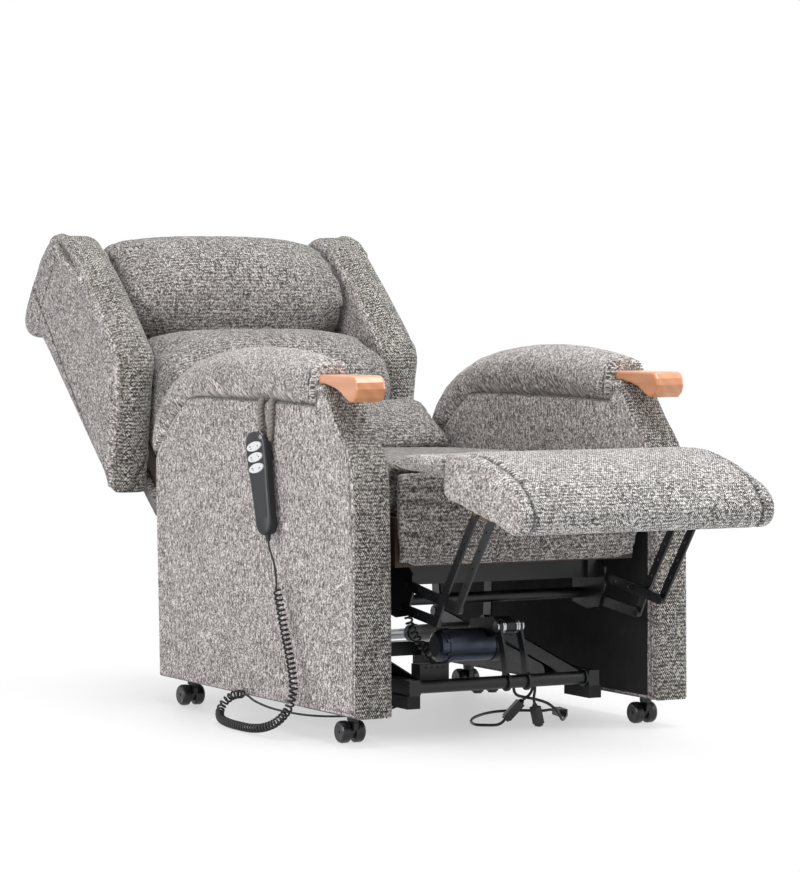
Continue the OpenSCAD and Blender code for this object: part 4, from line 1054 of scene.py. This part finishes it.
LOWER_FOLDS = [
    (1, -60, 262, 70, -40, 276, 8, 6), (1, -110, 276, 50, -96, 292, 8, 5), (1, -150, 284, 60, -146, 298, 8, 5),
    (1, -20, 232, 50, -4, 246, 8, 5), (-1, -70, 264, 80, -60, 280, 9, 5),
]  # fmt: skip
for piece, outline, node, folds in (
    (head, HEAD_OUTLINE, "head_cushion", HEAD_FOLDS),
    (middle, MIDDLE_OUTLINE, "middle_cushion", MIDDLE_FOLDS),
    (lower, LOWER_OUTLINE, "lower_cushion", LOWER_FOLDS),
):
    divide(piece)
    for end, u0, n0, reach, u1, n1, width, depth in folds:
        near_x, far_x = end * (HALF_BACK - 1), end * (HALF_BACK - 1 - reach)
        middle_way = on_back((near_x + far_x) / 2, (u0 + u1) / 2 + 4, (n0 + n1) / 2 + 3)
        fold = [on_back(near_x, u0, n0), middle_way, on_back(far_x, u1, n1)]
        crease(piece, fold, width=width / 800, depth=depth / 620)
    lay_cloth(piece, outline, back_plane, flat=2)
    finish_piece(piece, "back", "chenille", node, fill=0.75)
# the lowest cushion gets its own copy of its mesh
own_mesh(lower)

COVER_OUTLINE = [
    (-40, -18), (-34, -23), (122, -28), (309, -30), (530, -34), (548, -33), (560, -24), (567, 0), (566, 40), (560, 78),
    (548, 106), (540, 110), (535, 104), (532, -0.4), (-40, -0.4),
]  # fmt: skip
cover_round = round_outline(COVER_OUTLINE, 3, corner=60)
COVER_RIM = [(2, 0), (0.8, 1), (0, 3), (0, 60)]
cover = slab("back_panel_cover", cover_round, on_back, -252, 252, COVER_RIM, [CUSHION_CLOTH])
lay_cloth(cover, COVER_OUTLINE, back_plane, flat=2)
finish_piece(cover, "back", "chenille", "back_cover")

# x of a wing's inner and outer face
WING_INSIDE, WING_OUTSIDE = 256, 344
WING_OUTLINE = [
    (0, 0), (122, -3), (309, -2), (470, -1), (498, -8), (516, -26), (536, -37), (560, -38), (580, -20), (592, 40),
    (594, 120), (585, 175), (560, 215), (516, 244), (406, 257), (274, 255), (190, 248), (149, 235), (123, 198),
    (71, 114), (22, 27),
]  # fmt: skip
# seams on both faces of a wing, as u and n
WING_RIM_SEAM = [(590, 188), (548, 196), (522, 206), (516, 146), (514, 79), (498, 10)]
WING_TOP_ROLL = [(552, 216), (528, 222), (497, 226), (452, 236), (404, 246)]
# tucks across the border, each from its deep end, as x, u and n
WING_TUCKS = [
    [(345, 174, 250), (330, 177, 256), (308, 178, 256), (286, 172, 254)],
    [(345, 82, 150), (331, 88, 156), (312, 90, 160), (300, 88, 156)],
    [(345, 470, 252), (334, 500, 256), (310, 512, 254), (276, 506, 254)],
    [(258, 462, 256), (280, 470, 258), (312, 474, 258)],
    [(258, 44, 66), (276, 30, 42), (300, 12, 12)],
]
WING_RIM = [(26, 0.5), (15, 1.2), (8, 4), (4.2, 7.6), (2.2, 10.5), (0.8, 15), (0, 22)]


def build_wing(side, word):
    """A padded wing: a roll-edged border band round it, joined by tucks, and a panel sewn in each face."""
    outline = round_outline(WING_OUTLINE, 3, corner=60)
    faces = side * WING_INSIDE, side * WING_OUTSIDE
    wing = slab("wing_" + word + "_cover", outline, on_back, *faces, WING_RIM, [WING_CLOTH, BAND_CLOTH], sharp=60)
    plump(wing, voxel=0.0055, cap=0.004, pressure=1.5)
    limit(wing, 0, *sorted((across(side * (WING_INSIDE - 0.8)), across(side * (WING_OUTSIDE + 2)))))
    divide(wing)
    edge = [p for p in inset(outline, 7) if p.y > 6 + 0.1 * p.x or p.x < 20]
    for x in (side * WING_INSIDE, side * (WING_OUTSIDE + 1)):
        sew(wing, seam_line(on_back, x, edge), width=0.0045, depth=0.0028)
        sew(wing, seam_line(on_back, x, WING_RIM_SEAM), width=0.005, depth=0.004)
    roll = [on_back(side * (WING_OUTSIDE + 2), *p) for p in WING_TOP_ROLL]
    crease(wing, roll + [roll[-1].lerp(roll[0], -0.35)], width=0.012, depth=0.013)
    for tuck in WING_TUCKS:
        crease(wing, [on_back(side * x, u, n) for x, u, n in tuck], width=0.008, depth=0.008)
    lay_cloth(wing, outline, back_plane, turn_flat=True, flat=0.7)
    finish_piece(wing, "back", "strie", "wing_" + word, fill=0.6)


for side, word in SIDES:
    build_wing(side, word)

# ---------------------------------------------------------------- footrest

# half the width of the footrest, and x of its side seams and of the middle of its ends
HALF_FOOT, FOOT_SEAM, FOOT_END = 254, 227, 249
FOOT_OUTLINE = [
    (-565, 448), (-562, 480), (-562, 510), (-566, 519), (-604, 521), (-668, 515), (-725, 501), (-785, 477), (-818, 456),
    (-832, 433), (-828, 409), (-811, 395), (-792, 393), (-747, 407), (-680, 421), (-618, 434),
]  # fmt: skip
foot_round = round_outline(FOOT_OUTLINE, 3, corner=70)
FOOT_RIM = [
    (30, 5.5), (17, 6.2), (13.5, 7.6), (12.2, 6.4), (11, 3.2), (8.6, 1.0), (5.5, 0.2), (2.5, 1.6), (0.6, 5.5), (0, 12),
    (0, 80),
]  # fmt: skip
# tucks up the footrest's ends: y, z and half their height
FOOT_TUCKS = ((-640, 470, 26), (-690, 452, 26), (-735, 440, 24), (-590, 476, 22))
foot_cloths = [FOOT_END_CLOTH, FOOT_CLOTH]
foot_pad = slab("footrest_pad_cover", foot_round, mm, -HALF_FOOT, HALF_FOOT, FOOT_RIM, foot_cloths)
plump(foot_pad, voxel=0.005, cap=0.004, pressure=1.6, held_down=lambda co: co[:, 2] < 0.43)
divide(foot_pad)
for end in (-1, 1):
    sew_round(foot_pad, end * FOOT_SEAM, width=0.006, depth=0.0032)
    sew(foot_pad, seam_line(mm, end * FOOT_END, inset(foot_round, 13)), width=0.006, depth=0.002)
    for y, z, rise in FOOT_TUCKS:
        tuck = seam_line(mm, end * FOOT_END, [(y, z - rise), (y + 3, z), (y - 2, z + rise)])
        crease(foot_pad, tuck, width=0.01, depth=0.0022)
lay_cloth(foot_pad, FOOT_OUTLINE, chair_plane)
finish_piece(foot_pad, "footrest", "chenille", "footrest_pad", fill=0.7)

FLAP_OUTLINE = [
    (-553, 486), (-470, 485), (-406, 486), (-404.5, 498), (-408, 511), (-470, 513.5), (-540, 513.5), (-553, 510),
]  # fmt: skip
FLAP_RIM = [(9, 0.6), (6, 0.4), (3.4, 1.6), (1, 5), (0, 10), (0, 80)]
flap_round = round_outline(FLAP_OUTLINE, 3, corner=70)
flap = slab("footrest_flap_cover", flap_round, mm, -HALF_FOOT, HALF_FOOT, FLAP_RIM, [FOOT_CLOTH])
plump(flap, voxel=0.0045, cap=0.002, pressure=1.2)
divide(flap)
for end in (-1, 1):
    sew_round(flap, end * FOOT_SEAM, width=0.006, depth=0.0024)
lay_cloth(flap, FLAP_OUTLINE, chair_plane, flat=2)
finish_piece(flap, "flap", "chenille", "footrest_flap", fill=0.7)

# ---------------------------------------------------------------- handset


HANGER_CLOTH = coated_material("twisted hanger cord", "#8b867f", 0.9, dust=0.1, grain=1500.0, relief=0.0012)
HANGER_RADIUS = 0.0058
HANGER_TWIST = 0.016


def twisted_cord(name, points):
    """The handset's fabric hanger: two strands laid round each other."""
    line = spline_through(points, 8)
    pairs = carried_normals(line)
    made = []
    for strand in (0, 1):
        laid, run = [], 0.0
        for i, (p, (n, m)) in enumerate(zip(line, pairs)):
            run += (p - line[i - 1]).length if i else 0.0
            a = run / HANGER_TWIST * 2 * math.pi + strand * math.pi
            laid.append(p + HANGER_RADIUS * 0.5 * (math.cos(a) * n + math.sin(a) * m))
        made.append(cord_curve(f"{name}_{strand + 1}", laid, HANGER_RADIUS * 0.62, HANGER_CLOTH, 3))
    return made


REAR_HANGER = route(
    (-348.5, -62, 604), (-352, -60, 588), (-352.5, -62, 565), (-352.5, -70, 536), (-353, -80, 516), (-352.5, -84, 506),
)  # fmt: skip
FRONT_HANGER = route(
    (-348.5, -102, 603), (-352, -104, 588), (-352.5, -103, 560), (-352.5, -98, 534), (-353, -89, 516),
    (-352.5, -85, 506),
)  # fmt: skip
hangers = twisted_cord("hanger_rear", REAR_HANGER) + twisted_cord("hanger_front", FRONT_HANGER)
finish_piece(hangers[0], "chair", "chenille", "handset_hanger")
for strand in hangers[1:]:
    finish_piece(strand, "chair", "chenille")

# the handset's half width as a share of HALF_HANDSET, at distances below its top
HANDSET_WIDTHS = {
    2: 0.62, 10: 0.9, 24: 1.0, 40: 0.985, 60: 0.97, 110: 0.86, 150: 0.8, 172: 0.78, 184: 0.6, 190: 0.3,
}  # fmt: skip
# marks on each button: y, z, half width and half height
BUTTON_MARKS = {
    "top": ((-8.5, -1.4, 1.5, 1.1), (8.5, 1.4, 1.7, 1.3), (7.0, -3.2, 1.3, 1.0)),
    "middle": ((-8.5, -1.4, 1.5, 1.1), (8.5, 1.4, 1.7, 1.3), (-6.2, 2.4, 1.2, 0.9), (7.0, -3.2, 1.3, 1.0)),
    "bottom": ((-8.5, -1.4, 1.5, 1.1), (8.5, 1.4, 1.7, 1.3), (-6.2, -3.4, 1.2, 0.9), (7.0, -2.2, 1.3, 1.0)),
}
BUTTON_TOP, BUTTON_STEP = -28, -20
MARK_TILT = math.radians(-6)


def cap_ring(z):
    """A section of a cap that closes round the handset's case."""
    w = HALF_HANDSET * float(np.interp(-z, list(HANDSET_WIDTHS), list(HANDSET_WIDTHS.values()))) + 0.35
    back, face, bevel, small = HANDSET_BACK - 0.6, HANDSET_FACE - 0.35, 6.2, 1.8
    ring = [
        (back, -w + 2), (back, w - 2), (back - bevel, w), (face + bevel, w), (face + small, w - small),
        (face, w - bevel), (face, -w + bevel), (face + small, -w + small), (face + bevel, -w), (back - bevel, -w),
    ]  # fmt: skip
    return [on_handset(x, y, z) for x, y in ring]


def build_handset_caps():
    """A glossy cap on the head, a plain one at the foot, and a wire clip behind the head."""
    for name, z0, z1, look in (("head", -1.0, -17.0, HANDSET_GLOSS), ("foot", -160.0, -189.0, HANDSET_PLASTIC)):
        rings = [cap_ring(z) for z in np.linspace(z0, z1, 9)]
        finish_piece(skin("handset_" + name + "_cap", rings, [look], sharp=60), "chair", "handset_case")
    bends = ((1.2, 10, -22), (6, 4, -24), (8.5, -10, -30), (7, -17, -46), (1.4, -14, -58))
    clip = spline_through([on_handset(HANDSET_BACK + x, y, z) for x, y, z in bends], 6)
    finish_piece(cord_curve("handset_clip", clip, 0.0021, HANDSET_GLOSS), "chair", "handset_case")


def build_button_marks(word, z):
    """Dark printed marks, standing just off a button's face."""
    bm = bmesh.new()
    turns = np.linspace(0, 2 * math.pi, 12, endpoint=False)
    c, s = math.cos(MARK_TILT), math.sin(MARK_TILT)
    for y, dz, wide, tall in BUTTON_MARKS[word]:
        y, dz = y * c - dz * s, y * s + dz * c
        rim = [(y + wide * math.cos(a), z + dz + tall * math.sin(a)) for a in turns]
        grow(bm, [[on_handset(HANDSET_FACE - off, *p) for p in rim] for off in (3.12, 2.9)])
    finish_piece(object_from("button_marks_" + word, bm, [MARK_INK]), "rocker_" + word, "button_grey")


build_handset_caps()
for k, word in enumerate(BUTTON_MARKS):
    build_button_marks(word, BUTTON_TOP + k * BUTTON_STEP)

# ---------------------------------------------------------------- floor and backdrop


def seen_rays(tree):
    """1 on the rays that look at the backdrop: straight, in a reflection or through something clear."""
    paths = add(tree, "ShaderNodeLightPath").outputs
    straight = calc(tree, "MAXIMUM", paths["Is Camera Ray"], paths["Is Transmission Ray"])
    return calc(tree, "MAXIMUM", straight, paths["Is Glossy Ray"])


def show_backdrop(tree, share, lit, white):
    """Ends a material or the world in lit, with share of plain white."""
    both = add(tree, "ShaderNodeMixShader", {0: share, 1: lit.outputs[0], 2: white.outputs[0]})
    out = next(n for n in tree.nodes if n.type in ("OUTPUT_MATERIAL", "OUTPUT_WORLD"))
    tree.links.new(both.outputs[0], out.inputs["Surface"])


def build_floor():
    bm = bmesh.new()
    bmesh.ops.create_grid(bm, x_segments=1, y_segments=1, size=14)
    floor = object_from("studio_floor", bm, [])
    made, tree, shader = new_material("pale studio floor")
    place = add(tree, "ShaderNodeTexCoord").outputs["Object"]
    tint = noise(tree, place, 1.2, 2)
    colour = blend_colour(tree, tint, paint("#f4f4f5"), paint("#fafafa"))
    tree.links.new(colour, shader.inputs["Base Color"])
    shader.inputs["Roughness"].default_value = 0.45
    shader.inputs["Specular IOR Level"].default_value = 0.35
    glow = add(tree, "ShaderNodeEmission", {"Color": (1, 1, 1, 1), "Strength": 1.0})
    away = add(tree, "ShaderNodeVectorMath", {0: place}, operation="LENGTH").outputs["Value"]
    # less white near the chair, so that its shadow stays
    white = calc(tree, "MULTIPLY_ADD", ramp(tree, away, 0.35, 1.0), 0.48, 0.52)
    show_backdrop(tree, calc(tree, "MULTIPLY", white, seen_rays(tree)), shader, glow)
    floor.data.materials.append(made)
    floor.location.z = -0.0004


def build_world():
    world = bpy.data.worlds.new("studio")
    world.use_nodes = True
    scene.world = world
    tree = world.node_tree
    soft = next(n for n in tree.nodes if n.type == "BACKGROUND")
    soft.inputs["Color"].default_value = (0.95, 0.97, 1, 1)
    soft.inputs["Strength"].default_value = 0.44
    white = add(tree, "ShaderNodeBackground", {"Color": (1, 1, 1, 1), "Strength": 1.0})
    show_backdrop(tree, seen_rays(tree), soft, white)


build_floor()
build_world()
